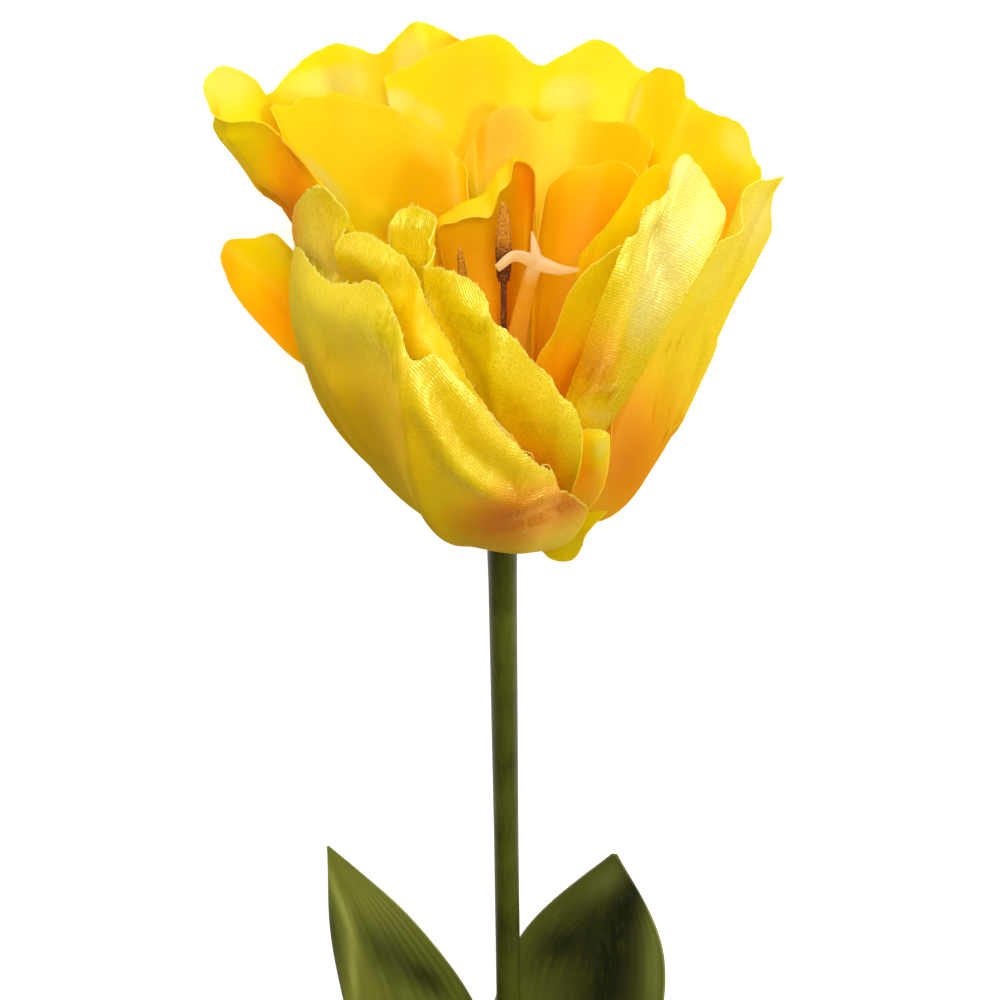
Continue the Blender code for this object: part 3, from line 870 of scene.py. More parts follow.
@dataclass(frozen=True)
class Fold:
    """A crease pressed into a petal, along a line given as the viewer sees it, in millimetres."""

    line: tuple
    height: float
    width: float

    # What a millimetre of depth counts for, in square millimetres, where a point could lie on two layers
    nearer: float = 0.02
    steps: int = 16
    # The fold dies away towards its ends as a sine does, raised by this much and cut off at its full height
    taper: float = 1.6
    end: float = 0.04

    def relief(self, grid: np.ndarray, facing: np.ndarray) -> np.ndarray:
        """Gives how far the fold pushes a petal's points out along their normals.

        Args:
            grid: The petal's points.
            facing: How far each point's normal turns towards the viewer, from -1 to 1.

        Returns:
            Millimetres, towards the viewer where the fold's height is above 0.
        """
        flat, depth = as_viewed(grid)
        places = []
        for point in self.line:
            far = ((flat - np.array(point)) ** 2).sum(axis=-1) + self.nearer * (depth - depth.min())
            places.append(np.array(np.unravel_index(far.argmin(), far.shape), float))
        count = self.steps * (len(places) - 1)
        line = np.array([smooth(places, k / count) for k in range(count + 1)])
        line = np.clip(np.rint(line).astype(int), 0, [size - 1 for size in facing.shape])
        spots = grid[line[:, 0], line[:, 1]]
        side = np.sign(facing[line[:, 0], line[:, 1]].sum())
        gaps = np.linalg.norm(grid[:, :, None] - spots[None, None], axis=-1)
        near, at = gaps.min(axis=-1), gaps.argmin(axis=-1) / count
        taper = np.clip(np.sin(math.pi * np.clip(at, self.end, 1 - self.end)) * self.taper, 0, 1)
        return side * self.height * taper * np.exp(-(near / self.width) ** 2)


@dataclass(frozen=True)
class DyeAndLightPatch:
    """A soft round patch of colour, dyed or painted as highlight or shade, its middle given as the viewer
    sees it, in millimetres.
    """

    dye: DyeAndLight
    middle: tuple
    size: tuple
    turn: float = 0.0
    amount: float = 1.0


@dataclass
class Petal:
    """One petal: its rim from left to right as the viewer meets it, how it grows to it, and its colours,
    which include painted highlights and painted shade.
    """

    name: str
    azimuth: float
    tier: int
    rim: tuple
    lean: tuple = (30.0, 30.0, 30.0)
    spread: tuple = (1.0, 1.0, 1.0)
    lift: tuple = (1.0, 1.0, 1.0)
    grip: tuple = (0.38, 0.38, 0.38)
    low: tuple | None = None
    high: tuple | None = None
    gold: float = 0.2
    foot_dye: tuple = (0.15, 0.5)
    folds: tuple = ()
    # Patches of dye, and patches of painted highlight and painted shade
    dye_and_light_patches: tuple = ()
    grain: float = 8.0
    ruffle: float = 0.3
    crease: float = 0.06
    weave: float = 0.25
    # Patches where the weave hardly shows, each as its middle, its size, its turn and how much it hides
    matt: tuple = ()
    column_mm: float = 0.7
    # How far along the rim its waves are evened out in the petal's body, which hangs smoother than the rim
    even_mm: float = 2.5
    # Loose ends for each millimetre of rim, and longer threads that lie along it, as the viewer sees them
    frayed: float = 0.0
    strays: tuple = ()

    thickness: float = 0.22
    rows: int = 40

    @staticmethod
    def across(values: tuple, t: float):
        """Gives the value at t, from the ones at even distances from the left edge to the right edge."""
        at = min(int(t * (len(values) - 1)), len(values) - 2)
        return values[at] + (values[at + 1] - values[at]) * (t * (len(values) - 1) - at)

    def rib(self, t: float, end: Vector) -> tuple[Vector, Vector, Vector, Vector]:
        """Gives the four control points of the rib from the claw to a rim point.

        Args:
            t: The place across the petal, from 0 to 1.
            end: The rim point.

        Returns:
            The Bezier points, the claw's first.
        """
        middle = around(self.azimuth, CLAW_RADIUS, TIER_HEIGHTS[self.tier])
        start = middle + around(self.azimuth + 90, 1, 0) * CLAW_WIDTH * (t - 0.5)
        outward = (Vector((end.x, end.y, 0)) + around(self.azimuth, 12, 0)).normalized()
        low = max(0.0, 1 - end.z / UPRIGHT_FROM)
        lean = math.radians(self.across(self.lean, t)) * (1 - low) + LOW_EDGE_LEAN * low
        level = Vector((end.x - start.x, end.y - start.y, 0))
        rise = Vector((0, 0, end.z - start.z))
        spread = TIER_SPREAD[self.tier] * self.across(self.spread, t)
        lift = TIER_LIFT[self.tier] * self.across(self.lift, t)
        first = start + level * spread + rise * lift
        arrival = outward * math.sin(lean) + Vector((0, 0, math.cos(lean)))
        second = end - arrival * self.across(self.grip, t) * (end - start).length
        if self.low:
            first = self.across(self.low, t)
        if self.high:
            second = self.across(self.high, t)
        return start, first, second, end

    def surface(self) -> tuple[np.ndarray, np.ndarray]:
        """Lays the petal's points out from its claw to its rim, closer together near the rim.

        Returns:
            The points as rows of columns, in millimetres, and each row's share of the way up.
        """
        rim = [Vector(p) for p in self.rim]
        length = sum((b - a).length for a, b in zip(rim, rim[1:]))
        columns = max(24, round(length / self.column_mm))
        ends = np.array([[*point] for point in spline(rim, columns)])
        reach = self.even_mm * columns / length
        even = self.even_out(ends, reach)
        ribs = [self.rib(i / columns, Vector(even[i])) for i in range(columns + 1)]
        a, b, c, d = (self.even_out(np.array([[*rib[k]] for rib in ribs]), reach)[None] for k in range(4))
        s = 1 - (1 - np.arange(self.rows + 1) / self.rows) ** 1.3
        u = s[:, None, None]
        grid = a * (1 - u) ** 3 + b * 3 * u * (1 - u) ** 2 + c * 3 * u * u * (1 - u) + d * u ** 3
        return grid + (ends[None] - d) * u ** 4, s

    @staticmethod
    def even_out(points: np.ndarray, reach: float) -> np.ndarray:
        """Softens a row of points along itself, with its two ends kept.

        Args:
            points: The row.
            reach: How many points wide the softening is.

        Returns:
            The softened row.
        """
        count = len(points)
        chord = points[0] + (points[-1] - points[0]) * np.linspace(0, 1, count)[:, None]
        bent = points - chord
        # Turned over at both ends, so that the row still starts and ends where it did
        longer = np.concatenate([-bent[:0:-1], bent, -bent[-2::-1]])
        weights = np.exp(-0.5 * (np.arange(1 - count, count) / reach) ** 2)
        weights /= weights.sum()
        softened = np.stack([np.convolve(longer[:, k], weights, "same") for k in range(3)], axis=-1)
        return chord + softened[count - 1 : 2 * count - 1]

    def flat_places(self, grid: np.ndarray) -> np.ndarray:
        """Gives each point's place on the flat cloth.

        Args:
            grid: The petal's points.

        Returns:
            Millimetres along the floats, across them and down from the rim.
        """
        up = np.linalg.norm(np.diff(grid, axis=0), axis=-1).cumsum(axis=0)
        up = np.concatenate([np.zeros((1, grid.shape[1])), up])
        out = np.linalg.norm(np.diff(grid, axis=1), axis=-1).cumsum(axis=1)
        out = np.concatenate([np.zeros((grid.shape[0], 1)), out], axis=1)
        out -= out[:, -1:] / 2
        edge = up[-1:] - up
        level = round(self.rows * WIDEST_AT)
        fan = out[level] / up[level]
        flat_out, flat_up = up * np.sin(fan), up * np.cos(fan)
        turn = math.radians(self.grain)
        along = flat_out * math.cos(turn) + flat_up * math.sin(turn)
        over = flat_up * math.cos(turn) - flat_out * math.sin(turn)
        return np.stack([along + CLOTH_START, over + CLOTH_START, edge], axis=-1)

    @staticmethod
    def normals(grid: np.ndarray) -> np.ndarray:
        """Gives the unit normal of a grid of points at each point."""
        cross = np.cross(np.gradient(grid, axis=1), np.gradient(grid, axis=0))
        return cross / (np.linalg.norm(cross, axis=-1, keepdims=True) + 1e-9)

    def press(self, grid: np.ndarray, cloth: np.ndarray, seed: int) -> np.ndarray:
        """Presses the folds, the ruffled rim and the faint creases into the petal.

        Args:
            grid: The petal's points.
            cloth: Their places on the flat cloth.
            seed: Which petal this is, for its random waves.

        Returns:
            The points, moved.
        """
        normal = self.normals(grid)
        facing = -(normal @ np.array(VIEW_ALONG))
        edge = cloth[..., 2]
        along = np.broadcast_to(np.linspace(0, 1, edge.shape[1]), edge.shape)
        grown = np.broadcast_to(np.linspace(0, 1, edge.shape[0])[:, None], edge.shape)
        run = along * np.linalg.norm(np.diff(grid[-1], axis=0), axis=-1).sum()
        creases = ripple(along * CREASES, 1.0, seed + CREASE_DRAW)
        relief = self.crease * creases * rising(grown, *CREASES_FADE_IN)
        relief += sum(self.ruffle * wave.heights(run, edge, seed) for wave in RUFFLES)
        relief += sum(fold.relief(grid, facing) for fold in self.folds)
        moved = grid + normal * (relief * rising(grown, *PRESS_FADES_IN))[..., None]
        outward = moved[-1] - moved[-2]
        outward /= np.linalg.norm(outward, axis=-1, keepdims=True) + 1e-9
        nick = sum(wave.heights(run, edge, seed) for wave in NICKS)
        nick += self.weave * FRAYING.heights(run, edge, seed)
        return moved + outward[None] * nick[..., None]

    def loose_threads(self, moved: np.ndarray, seed: int) -> list[list[Vector]]:
        """Frays the rim: short ends that lean their own way, and the strays that lie along it.

        Args:
            moved: The petal's finished points.
            seed: Which petal this is, for its random draws.

        Returns:
            The line that each thread follows.
        """
        rim, inner = moved[-1], moved[-2]
        outward = (rim - inner) / np.linalg.norm(rim - inner, axis=-1, keepdims=True)
        along = np.gradient(rim, axis=0)
        along /= np.linalg.norm(along, axis=-1, keepdims=True)
        length = np.linalg.norm(np.diff(rim, axis=0), axis=-1).sum()
        draw = np.random.default_rng(seed + THREAD_DRAW)
        threads = []
        for at in draw.integers(2, len(rim) - 2, int(length * self.frayed)):
            sideways = np.cross(along[at], outward[at])
            way = outward[at] + along[at] * draw.uniform(-1.2, 1.2) + sideways * draw.uniform(-0.6, 0.6)
            curl = draw.uniform(-0.5, 0.5, 3)
            reach = draw.uniform(*THREAD_REACH)
            foot = rim[at] - outward[at] * THREAD_ROOT
            steps = (0, 0.25, 0.5, 0.75, 1)
            threads.append([Vector(foot + reach * (way * s + curl * s ** 2)) for s in steps])
        flat, _ = as_viewed(rim)
        for stray in self.strays:
            spots = [int(((flat - np.array(point)) ** 2).sum(axis=-1).argmin()) for point in stray]
            arch = [math.sin(math.pi * k / (len(spots) - 1)) for k in range(len(spots))]
            lifts = [STRAY_LIFT + STRAY_ARCH * high for high in arch]
            lying = [Vector(rim[at] + outward[at] * lift) for at, lift in zip(spots, lifts)]
            threads.append(spline(lying, 16))
        return threads

    def dyes(self, grid: np.ndarray, s: np.ndarray) -> np.ndarray:
        """Colours the petal: its own yellow, orange at the claw, then its patches, some of them painted
        highlights and painted shade.

        Args:
            grid: The petal's points.
            s: Each row's share of the way up.

        Returns:
            The shares of gold (below 0 pale, also painted highlight), orange and orange darkened as painted
            shade, at each point.
        """
        flat, _ = as_viewed(grid)
        made = np.zeros(grid.shape)
        made[..., 0] = self.gold
        foot = 1 - rising(s, *self.foot_dye)[:, None, None]
        made += (np.array(DyeAndLight.ORANGE.value) - made) * foot
        for dye_and_light_patch in self.dye_and_light_patches:
            share = dye_and_light_patch.amount * patch(flat, dye_and_light_patch.middle, dye_and_light_patch.size, dye_and_light_patch.turn)
            made += (np.array(dye_and_light_patch.dye.value) - made) * share[..., None]
        return made

    def weaves(self, grid: np.ndarray) -> np.ndarray:
        """Gives how clearly the weave shows and glints, less where the petal is pressed matt.

        Args:
            grid: The petal's points.

        Returns:
            One share for each point.
        """
        flat, _ = as_viewed(grid)
        made = np.full((*grid.shape[:2], 1), self.weave)
        for middle, size, turn, amount in self.matt:
            made *= 1 - amount * patch(flat, middle, size, turn)[..., None]
        return made

    def build(self, seed: int, material: bpy.types.Material) -> list[list[Vector]]:
        """Makes the petal and hands it over.

        Args:
            seed: Which petal this is, for its random waves.
            material: The satin.

        Returns:
            The lines of the threads that have come loose from its rim.
        """
        grid, s = self.surface()
        cloth = self.flat_places(grid)
        moved = self.press(grid, cloth, seed)
        made = cloth_sheet("satin_" + self.name, moved, self.thickness, cloth=cloth, dye=self.dyes(grid, s),
                           weave=self.weaves(grid))
        hand_over(made, Slot.PETALS, material, "petal_" + self.name)
        return self.loose_threads(moved, seed)


PETALS = (
    Petal(
        "front_outer", -22, 0,
        (
            seen(-29.8, 22.6, -9), seen(-31.9, 32, -10), seen(-31.5, 40.2, -13),
            seen(-28.7, 37.6, -20), seen(-25.6, 35.0, -26), seen(-22.5, 35.0, -30), seen(-19.8, 35.4, -33),
            seen(-17.2, 32.6, -36), seen(-15.6, 28.5, -38), seen(-14.3, 24.0, -39), seen(-12.6, 23.5, -39),
            seen(-10.2, 24.0, -39), seen(-7.3, 21.0, -38.5), seen(-3.5, 16.4, -37.5), seen(0.5, 11.8, -36),
            seen(4.4, 8.2, -34), seen(7.5, 6.4, -32), seen(8.3, 4.2, -31), seen(10.5, 2.9, -30),
            seen(12.8, 0.7, -28), seen(10.3, -0.8, -25), seen(8.8, -2.8, -20),
        ),
        lean=(9, -18, -27, -14, 10), spread=(0.64, 1.2, 1.0), gold=0.1, foot_dye=(0.02, 0.2), grain=-48,
        crease=0.02, weave=1.0, column_mm=0.3, ruffle=0.2, frayed=1.2, even_mm=1.2,
        matt=(((-22, 13), (20, 7), -62, 0.9), ((-8, -1), (10, 5), -20, 0.7)),
        strays=(
            ((-2.6, 16), (0, 14.6), (2.3, 12.8)), ((-1.5, 15), (0.8, 12.6)), ((0.9, 11.9), (2.7, 10.7)),
            ((3.0, 9.4), (3.9, 8.5), (5, 8.2)), ((5.8, 7.8), (7, 6.8), (8, 5.5)),
        ),
        folds=(
            Fold(((-13.4, 22.5), (-12.3, 16.4), (-8.2, 10.2), (-4.5, 5.9), (1.5, 1.4)), 1.2, 1.4),
            Fold(((-11.6, 20.5), (-9.4, 15.2), (-4.8, 9.6), (0, 5.6), (4, 3.6)), -0.9, 1.8),
            Fold(((-9.6, 22), (-5, 16.4), (0, 10.4), (5, 6.6)), 0.5, 2.1),
            Fold(((-30.5, 35), (-26, 31.5), (-20, 29.5), (-16, 28)), 1.0, 2.6),
            Fold(((-28, 27), (-22.5, 23), (-17, 21)), -0.8, 3.0),
            Fold(((-17.5, 24.5), (-17.5, 17), (-15, 9)), -0.7, 2.6),
            Fold(((-28.5, 25), (-24.2, 17.3), (-20.5, 11.1), (-16, 6)), 0.6, 1.8),
            Fold(((1.5, 0.6), (5.5, 2.2), (9.7, 2.6)), 0.45, 0.8),
            Fold(((0, -3.1), (5, -1.2), (10, -0.3)), 0.35, 0.8),
            Fold(((2.5, -1.3), (6, 0.3), (9.5, 1.2)), -0.35, 0.7),
        ),
        dye_and_light_patches=(
            # Painted shade: the left body darkened with a faint rust, the band right of the ridge with gold
            DyeAndLightPatch(DyeAndLight.ORANGE_IN_SHADE, (-21, 15), (15, 6), -55, 0.16),
            DyeAndLightPatch(DyeAndLight.GOLD, (-5, 13), (9, 4), -48, 0.5),
            DyeAndLightPatch(DyeAndLight.AMBER, (1, 0), (10, 4.5), 15, 0.7),
            # Painted shade: the lowest part, which faces down, darkened with rust-coloured orange
            DyeAndLightPatch(DyeAndLight.ORANGE_IN_SHADE, (1, -0.6), (6.5, 3.6), 12, 0.95),
            DyeAndLightPatch(DyeAndLight.ORANGE_IN_SHADE, (9, 1.8), (4.5, 2.4), 20, 0.9),
            DyeAndLightPatch(DyeAndLight.ORANGE, (6, 1.0), (5, 0.5), 22, 0.6),
            DyeAndLightPatch(DyeAndLight.ORANGE, (3, -2.2), (5, 0.4), 14, 0.5),
            DyeAndLightPatch(DyeAndLight.LEMON, (-6, -3.8), (8, 1.4), -12, 0.5),
        ),
    ),
    Petal(
        "front_left", -38, 1,
        (
            seen(-31.0, 38, -3), seen(-31.8, 43, -5), seen(-31.4, 46.6, -7), seen(-30, 48.6, -9),
            seen(-28, 49.3, -11), seen(-26, 48.7, -12), seen(-24.2, 46.6, -13), seen(-23.1, 44.6, -14),
            seen(-23.7, 42.6, -15), seen(-22.3, 42.8, -16), seen(-20.6, 42.5, -18), seen(-18.5, 41.4, -20),
            seen(-15.5, 39.6, -23), seen(-13.9, 37.4, -25), seen(-12.6, 34.8, -27), seen(-11, 31, -28),
            seen(-9.2, 27.8, -29), seen(-6.6, 23.8, -30), seen(-4.2, 19, -30), seen(-0.8, 14.2, -29),
            seen(2.6, 11.2, -27),
        ),
        lean=(20, 0, -30, -30, -10), gold=0.1, grain=-36, weave=1.0, column_mm=0.3, foot_dye=(0.05, 0.3),
        ruffle=0.2, frayed=0.6, even_mm=1.5, matt=(((-9, 25), (12, 3), -60, 0.7),),
        folds=(
            Fold(((-27.5, 40.6), (-24, 39.3), (-20, 38), (-15.5, 35.5)), 1.4, 2.2),
            Fold(((-30, 37.2), (-26, 35.6), (-21, 34.8), (-17.5, 33.6)), -1.2, 1.3),
            Fold(((-21, 32.8), (-17, 32.4), (-14.5, 31)), 0.8, 1.2),
            Fold(((-13, 33), (-9.5, 27), (-6, 20), (-3, 15)), -0.8, 1.6),
        ),
        dye_and_light_patches=(
            # Painted shadow: a darker gold tongue where the petal's inside lies in shade
            DyeAndLightPatch(DyeAndLight.GOLD, (-14, 28), (2.4, 6), 8, 0.8),
            DyeAndLightPatch(DyeAndLight.ORANGE, (0, 13), (3, 5), 35, 0.6),
            DyeAndLightPatch(DyeAndLight.ORANGE, (-32, 43.5), (1.4, 5), 0, 0.9),
        ),
    ),
    Petal(
        "front_middle", -2, 2,
        (
            seen(-16.5, 37, -15), seen(-17.3, 41, -14), seen(-17.5, 43.4, -13), seen(-16.2, 45.5, -12),
            seen(-13.8, 47.1, -11.5), seen(-11.8, 46.2, -12.5), seen(-9.9, 44.7, -14),
            seen(-10.3, 43, -16), seen(-11.0, 41.2, -18), seen(-10.2, 40.2, -19), seen(-10.9, 38.2, -21),
            seen(-12.2, 37.3, -24), seen(-9.8, 37.3, -25), seen(-6.9, 36.4, -26), seen(-4.4, 35, -27),
            seen(-2.4, 32.9, -28), seen(-1.6, 29.6, -29), seen(0.6, 27.7, -29), seen(2.4, 25.8, -29.5),
            seen(4.6, 23.2, -30), seen(7.2, 21, -30), seen(8.8, 18, -30), seen(11, 15.8, -29.5),
            seen(11.9, 12.4, -29), seen(11.2, 9.6, -28), seen(9.8, 6.4, -26), seen(9.3, 3.8, -23),
        ),
        lean=(-5, -25, -20, -10, 0), gold=0.05, grain=-40, foot_dye=(0.05, 0.3), weave=1.0, column_mm=0.3,
        ruffle=0.25, frayed=0.8, even_mm=1.5,
        folds=(
            Fold(((-13.6, 46), (-13.6, 42), (-13.2, 38)), 1.2, 2.6),
            Fold(((-12, 36.5), (-10.3, 30.3), (-7.6, 25.4), (-2.6, 16.5)), -1.2, 1.7),
            Fold(((-8.5, 34.5), (-4.5, 31), (-2.4, 28)), 0.9, 1.8),
            Fold(((-3, 24), (3, 18), (7, 12)), 0.6, 2.6),
        ),
        dye_and_light_patches=(
            # Painted shade: darker gold along the valley of the fold
            DyeAndLightPatch(DyeAndLight.GOLD, (-6.5, 23), (2.0, 10), 25, 0.4),
            DyeAndLightPatch(DyeAndLight.ORANGE, (4.5, 6.5), (5, 6), 30, 0.95),
            DyeAndLightPatch(DyeAndLight.GOLD, (5, 15), (5, 6), 0, 0.4),
        ),
    ),
    Petal(
        "left_curled", -92, 1,
        (
            seen(-28.0, 45, -1), seen(-28.2, 49.6, -3), seen(-31, 53.4, -4), seen(-33.2, 56.6, -5),
            seen(-35.5, 59, -5), seen(-38, 59.8, -4), seen(-41, 59.8, -2), seen(-43.5, 61.4, 0),
            seen(-45, 65.3, 4), seen(-43, 67.5, 8), seen(-41, 67.6, 11), seen(-38.6, 66.2, 14),
            seen(-36, 63.6, 17), seen(-34.4, 60, 19), around(-120, 33, 44),
        ),
        lean=(50, 35, 20), gold=0.15, grain=10, foot_dye=(0.3, 0.65), column_mm=0.45,
        folds=(
            Fold(((-43, 60), (-41.5, 56), (-38.5, 51), (-35, 46)), 2.2, 4.5),
        ),
        dye_and_light_patches=(
            DyeAndLightPatch(DyeAndLight.GOLD, (-36, 52), (6, 7), 0, 0.8),
            DyeAndLightPatch(DyeAndLight.ORANGE, (-31.5, 50), (3.2, 9), 10, 0.95),
            # Painted shade: the orange darkened low on the petal
            DyeAndLightPatch(DyeAndLight.ORANGE_IN_SHADE, (-31.5, 44), (2.2, 7), 0, 0.6),
            DyeAndLightPatch(DyeAndLight.LEMON, (-40, 60), (3, 9), 20, 0.8),
            # Painted highlight: the lit top of the lip made pale
            DyeAndLightPatch(DyeAndLight.PALE_AND_HIGHLIGHT, (-42, 65.4), (6, 4), 0, 0.4),
        ),
    ),
    Petal(
        "left_low", -96, 0,
        (
            seen(-29.5, 22.3, 1), seen(-32, 24, 2), seen(-36, 28, 4), seen(-40, 32.7, 6),
            seen(-42.2, 37.5, 9), seen(-42.3, 40, 11), seen(-41.2, 41.4, 12), seen(-37.6, 41.8, 14),
            seen(-33.5, 41.5, 15), around(-110, 32, 27), around(-112, 24, 13),
        ),
        lean=(55, 55, 55), gold=0.6, grain=6, foot_dye=(0.4, 0.9), ruffle=0.1,
        dye_and_light_patches=(
            DyeAndLightPatch(DyeAndLight.ORANGE, (-35, 29), (8, 7), 0, 0.8),
            DyeAndLightPatch(DyeAndLight.LEMON, (-35, 40.5), (9, 4.6), 0, 0.95),
            DyeAndLightPatch(DyeAndLight.ORANGE, (-42, 36.6), (2, 5), 10, 0.85),
        ),
    ),
    Petal(
        "back_left", -150, 0,
        (
            around(-128, 37, 36), seen(-36.5, 60.5, 27), seen(-34.6, 64, 31), seen(-30, 69, 38.5),
            seen(-27, 70.5, 43), seen(-24.2, 71.3, 44.5), seen(-21.5, 70.4, 44), seen(-18.8, 69.7, 43.5),
            seen(-16.2, 72, 43.8), seen(-13.4, 74.6, 44), seen(-10.5, 73.8, 44), seen(-7.5, 72.4, 44),
            seen(-5.0, 70.0, 44.5), around(180, 42, 46), around(-178, 36, 30),
        ),
        lean=(35, 32, 35), gold=0.15, grain=8,
        dye_and_light_patches=(
            # Painted light and shade of the petal's soft waves: amber and gold darken it as painted shade,
            # pale lightens it as painted light
            DyeAndLightPatch(DyeAndLight.AMBER, (-6, 71.5), (3.5, 2.5), -30, 0.7),
            DyeAndLightPatch(DyeAndLight.GOLD, (-18.6, 68.5), (2.4, 4), 0, 0.7),
            DyeAndLightPatch(DyeAndLight.GOLD, (-24, 70.4), (8, 1.6), 12, 0.5),
            DyeAndLightPatch(DyeAndLight.PALE_AND_HIGHLIGHT, (-26, 65.4), (8, 3), 8, 0.55),
            DyeAndLightPatch(DyeAndLight.PALE_AND_HIGHLIGHT, (-14.4, 69.6), (3, 4.6), -20, 0.5),
        ),
    ),
    Petal(
        "back", 178, 1,
        (
            around(-154, 30.5, 34), seen(-17.8, 63.5, 33), seen(-16.4, 66.8, 35), seen(-14.4, 67.8, 36.5),
            seen(-12, 69, 38), seen(-9, 70.4, 39.5), seen(-5.5, 71.8, 41), seen(-2, 72.6, 42),
            seen(0.6, 71.7, 42.5), seen(4.5, 68.4, 41), seen(6.6, 68.1, 41.5), seen(8.8, 69.4, 43),
            seen(13.7, 71.6, 44.6), seen(17, 70.6, 44.4), seen(19.8, 68, 43), seen(22.5, 64.5, 41),
            around(148, 38, 38),
        ),
        lean=(32, 35, 35), gold=0.8, grain=5, ruffle=0.2,
        dye_and_light_patches=(
            # Painted light and shade of the petal's soft waves: amber and gold darken it as painted shade,
            # pale and lemon lighten it as painted light
            DyeAndLightPatch(DyeAndLight.AMBER, (-4, 66), (6, 5), 0, 0.5),
            DyeAndLightPatch(DyeAndLight.PALE_AND_HIGHLIGHT, (9.6, 63.6), (9, 5), 8, 0.7),
            DyeAndLightPatch(DyeAndLight.LEMON, (15, 67), (5, 5), 0, 0.6),
            DyeAndLightPatch(DyeAndLight.GOLD, (3, 66.8), (1.7, 3.6), 20, 0.8),
            DyeAndLightPatch(DyeAndLight.PALE_AND_HIGHLIGHT, (-16.6, 62.6), (3.6, 3), 0, 0.7),
            DyeAndLightPatch(DyeAndLight.PALE_AND_HIGHLIGHT, (-10.6, 59.8), (5, 3), -40, 0.6),
        ),
    ),
    Petal(
        "back_right", 130, 1,
        (
            around(152, 35, 40), seen(19.4, 61.5, 35), seen(20.6, 65.6, 35.5), seen(22.2, 67, 35),
            seen(23.8, 67.7, 34), seen(27, 66.4, 31), seen(27.6, 63.2, 28.5), seen(29, 62.4, 28),
            seen(31.5, 60.7, 26), seen(34.5, 59.8, 23), seen(37, 57.6, 20), seen(37.7, 54.6, 18),
            seen(38.8, 50.5, 13), around(104, 34, 36),
        ),
        lean=(32, 32, 30), gold=0.6, grain=8,
        dye_and_light_patches=(
            # Painted light and shade of the petal's soft waves: amber darkens it as painted shade and pale
            # lightens it as painted light; the deep orange low on the right is painted shadow
            DyeAndLightPatch(DyeAndLight.AMBER, (24, 61.5), (2.6, 5), 0, 0.4),
            DyeAndLightPatch(DyeAndLight.AMBER, (30, 57.5), (3, 5), 20, 0.5),
            DyeAndLightPatch(DyeAndLight.PALE_AND_HIGHLIGHT, (19.6, 62), (2.4, 6), -15, 0.6),
            DyeAndLightPatch(DyeAndLight.PALE_AND_HIGHLIGHT, (35.4, 55.4), (4.6, 7), 30, 0.62),
            DyeAndLightPatch(DyeAndLight.ORANGE, (34.5, 45), (3.5, 6), 10, 0.95),
        ),
    ),
    Petal(
        "inner_left", -126, 2,
        (
            around(-100, 27, 42), seen(-33.6, 58, 8), seen(-34.8, 61.8, 12), seen(-32, 61.9, 15),
            seen(-30.6, 63.3, 17), seen(-27, 63.2, 20), seen(-25.8, 63.8, 21), seen(-22, 62.8, 23),
            seen(-17, 61.5, 26), seen(-13.8, 59.4, 27), seen(-10, 57.4, 28), seen(-6.8, 53.8, 27),
            seen(-5.2, 51.4, 25), seen(-5.2, 48, 22),
        ),
        lean=(20, 25, 20), gold=0.85, grain=8,
        folds=(
            Fold(((-30, 54), (-27, 47), (-23.5, 42)), 0.7, 1.8),
            Fold(((-19.6, 43.5), (-18.4, 45), (-17, 44.3)), 0.9, 1.0),
        ),
        dye_and_light_patches=(
            # Painted light: a bright lemon and pale strip where light comes through the petal
            DyeAndLightPatch(DyeAndLight.LEMON, (-27, 50.5), (11, 3.0), -48, 0.9),
            DyeAndLightPatch(DyeAndLight.PALE_AND_HIGHLIGHT, (-27, 50.5), (9, 1.8), -48, 0.35),
            # Painted shade: a darker amber band under the rim, which curls away from the light
            DyeAndLightPatch(DyeAndLight.AMBER, (-22, 61.4), (11, 1.1), -8, 0.4),
            DyeAndLightPatch(DyeAndLight.AMBER, (-12, 48), (6, 6), 20, 0.5),
            DyeAndLightPatch(DyeAndLight.LEMON, (-18.4, 44.4), (2.6, 1.6), 0, 0.8),
            DyeAndLightPatch(DyeAndLight.ORANGE, (-16.4, 42.4), (1.8, 1.4), 30, 0.7),
        ),
    ),
    Petal(
        "inner_back", 170, 2,
        (
            seen(-7.2, 48, 28), seen(-5.8, 54, 30), seen(-4.4, 57.2, 32), seen(-2.6, 60, 33),
            seen(0, 61.9, 34), seen(2.4, 61.6, 34), seen(5, 59.7, 33), seen(6.8, 59.7, 33),
            seen(9.4, 61.2, 33.5), seen(12, 60.1, 33), seen(14.5, 59.3, 32), seen(18, 59.4, 30),
            seen(21, 58, 27), seen(22.5, 54, 24), around(142, 22, 34),
        ),
        lean=(25, 25, 25), gold=0.85, grain=8,
        dye_and_light_patches=(
            DyeAndLightPatch(DyeAndLight.ORANGE, (-0.6, 57.6), (4.6, 6), -20, 0.95),
            DyeAndLightPatch(DyeAndLight.LEMON, (-4, 48.5), (3, 3), 0, 0.6),
            # Painted light: a pale patch on the petal's soft waves
            DyeAndLightPatch(DyeAndLight.PALE_AND_HIGHLIGHT, (8.8, 55), (2.6, 5), 20, 0.5),
        ),
    ),
    Petal(
        "centre", -174, 3,
        (
            seen(-9.0, 38, 10), seen(-9.6, 43.2, 8.5), seen(-7.5, 44.2, 8), seen(-5, 45.0, 8),
            seen(-2.2, 44.8, 8), seen(-1.4, 46, 8.5), seen(-0.6, 48.6, 9.5), seen(0.9, 50.0, 10.5),
            seen(1.8, 53.4, 12), seen(4.4, 52.4, 15), seen(4.8, 49, 16), seen(4.6, 44, 15),
        ),
        lean=(-100, -140, 10), grip=(0.25, 0.46, 0.3), gold=0.9, grain=8, foot_dye=(0.3, 0.7), ruffle=0.12,
        dye_and_light_patches=(
            DyeAndLightPatch(DyeAndLight.ORANGE, (-2, 38), (9, 9), 0, 0.3),
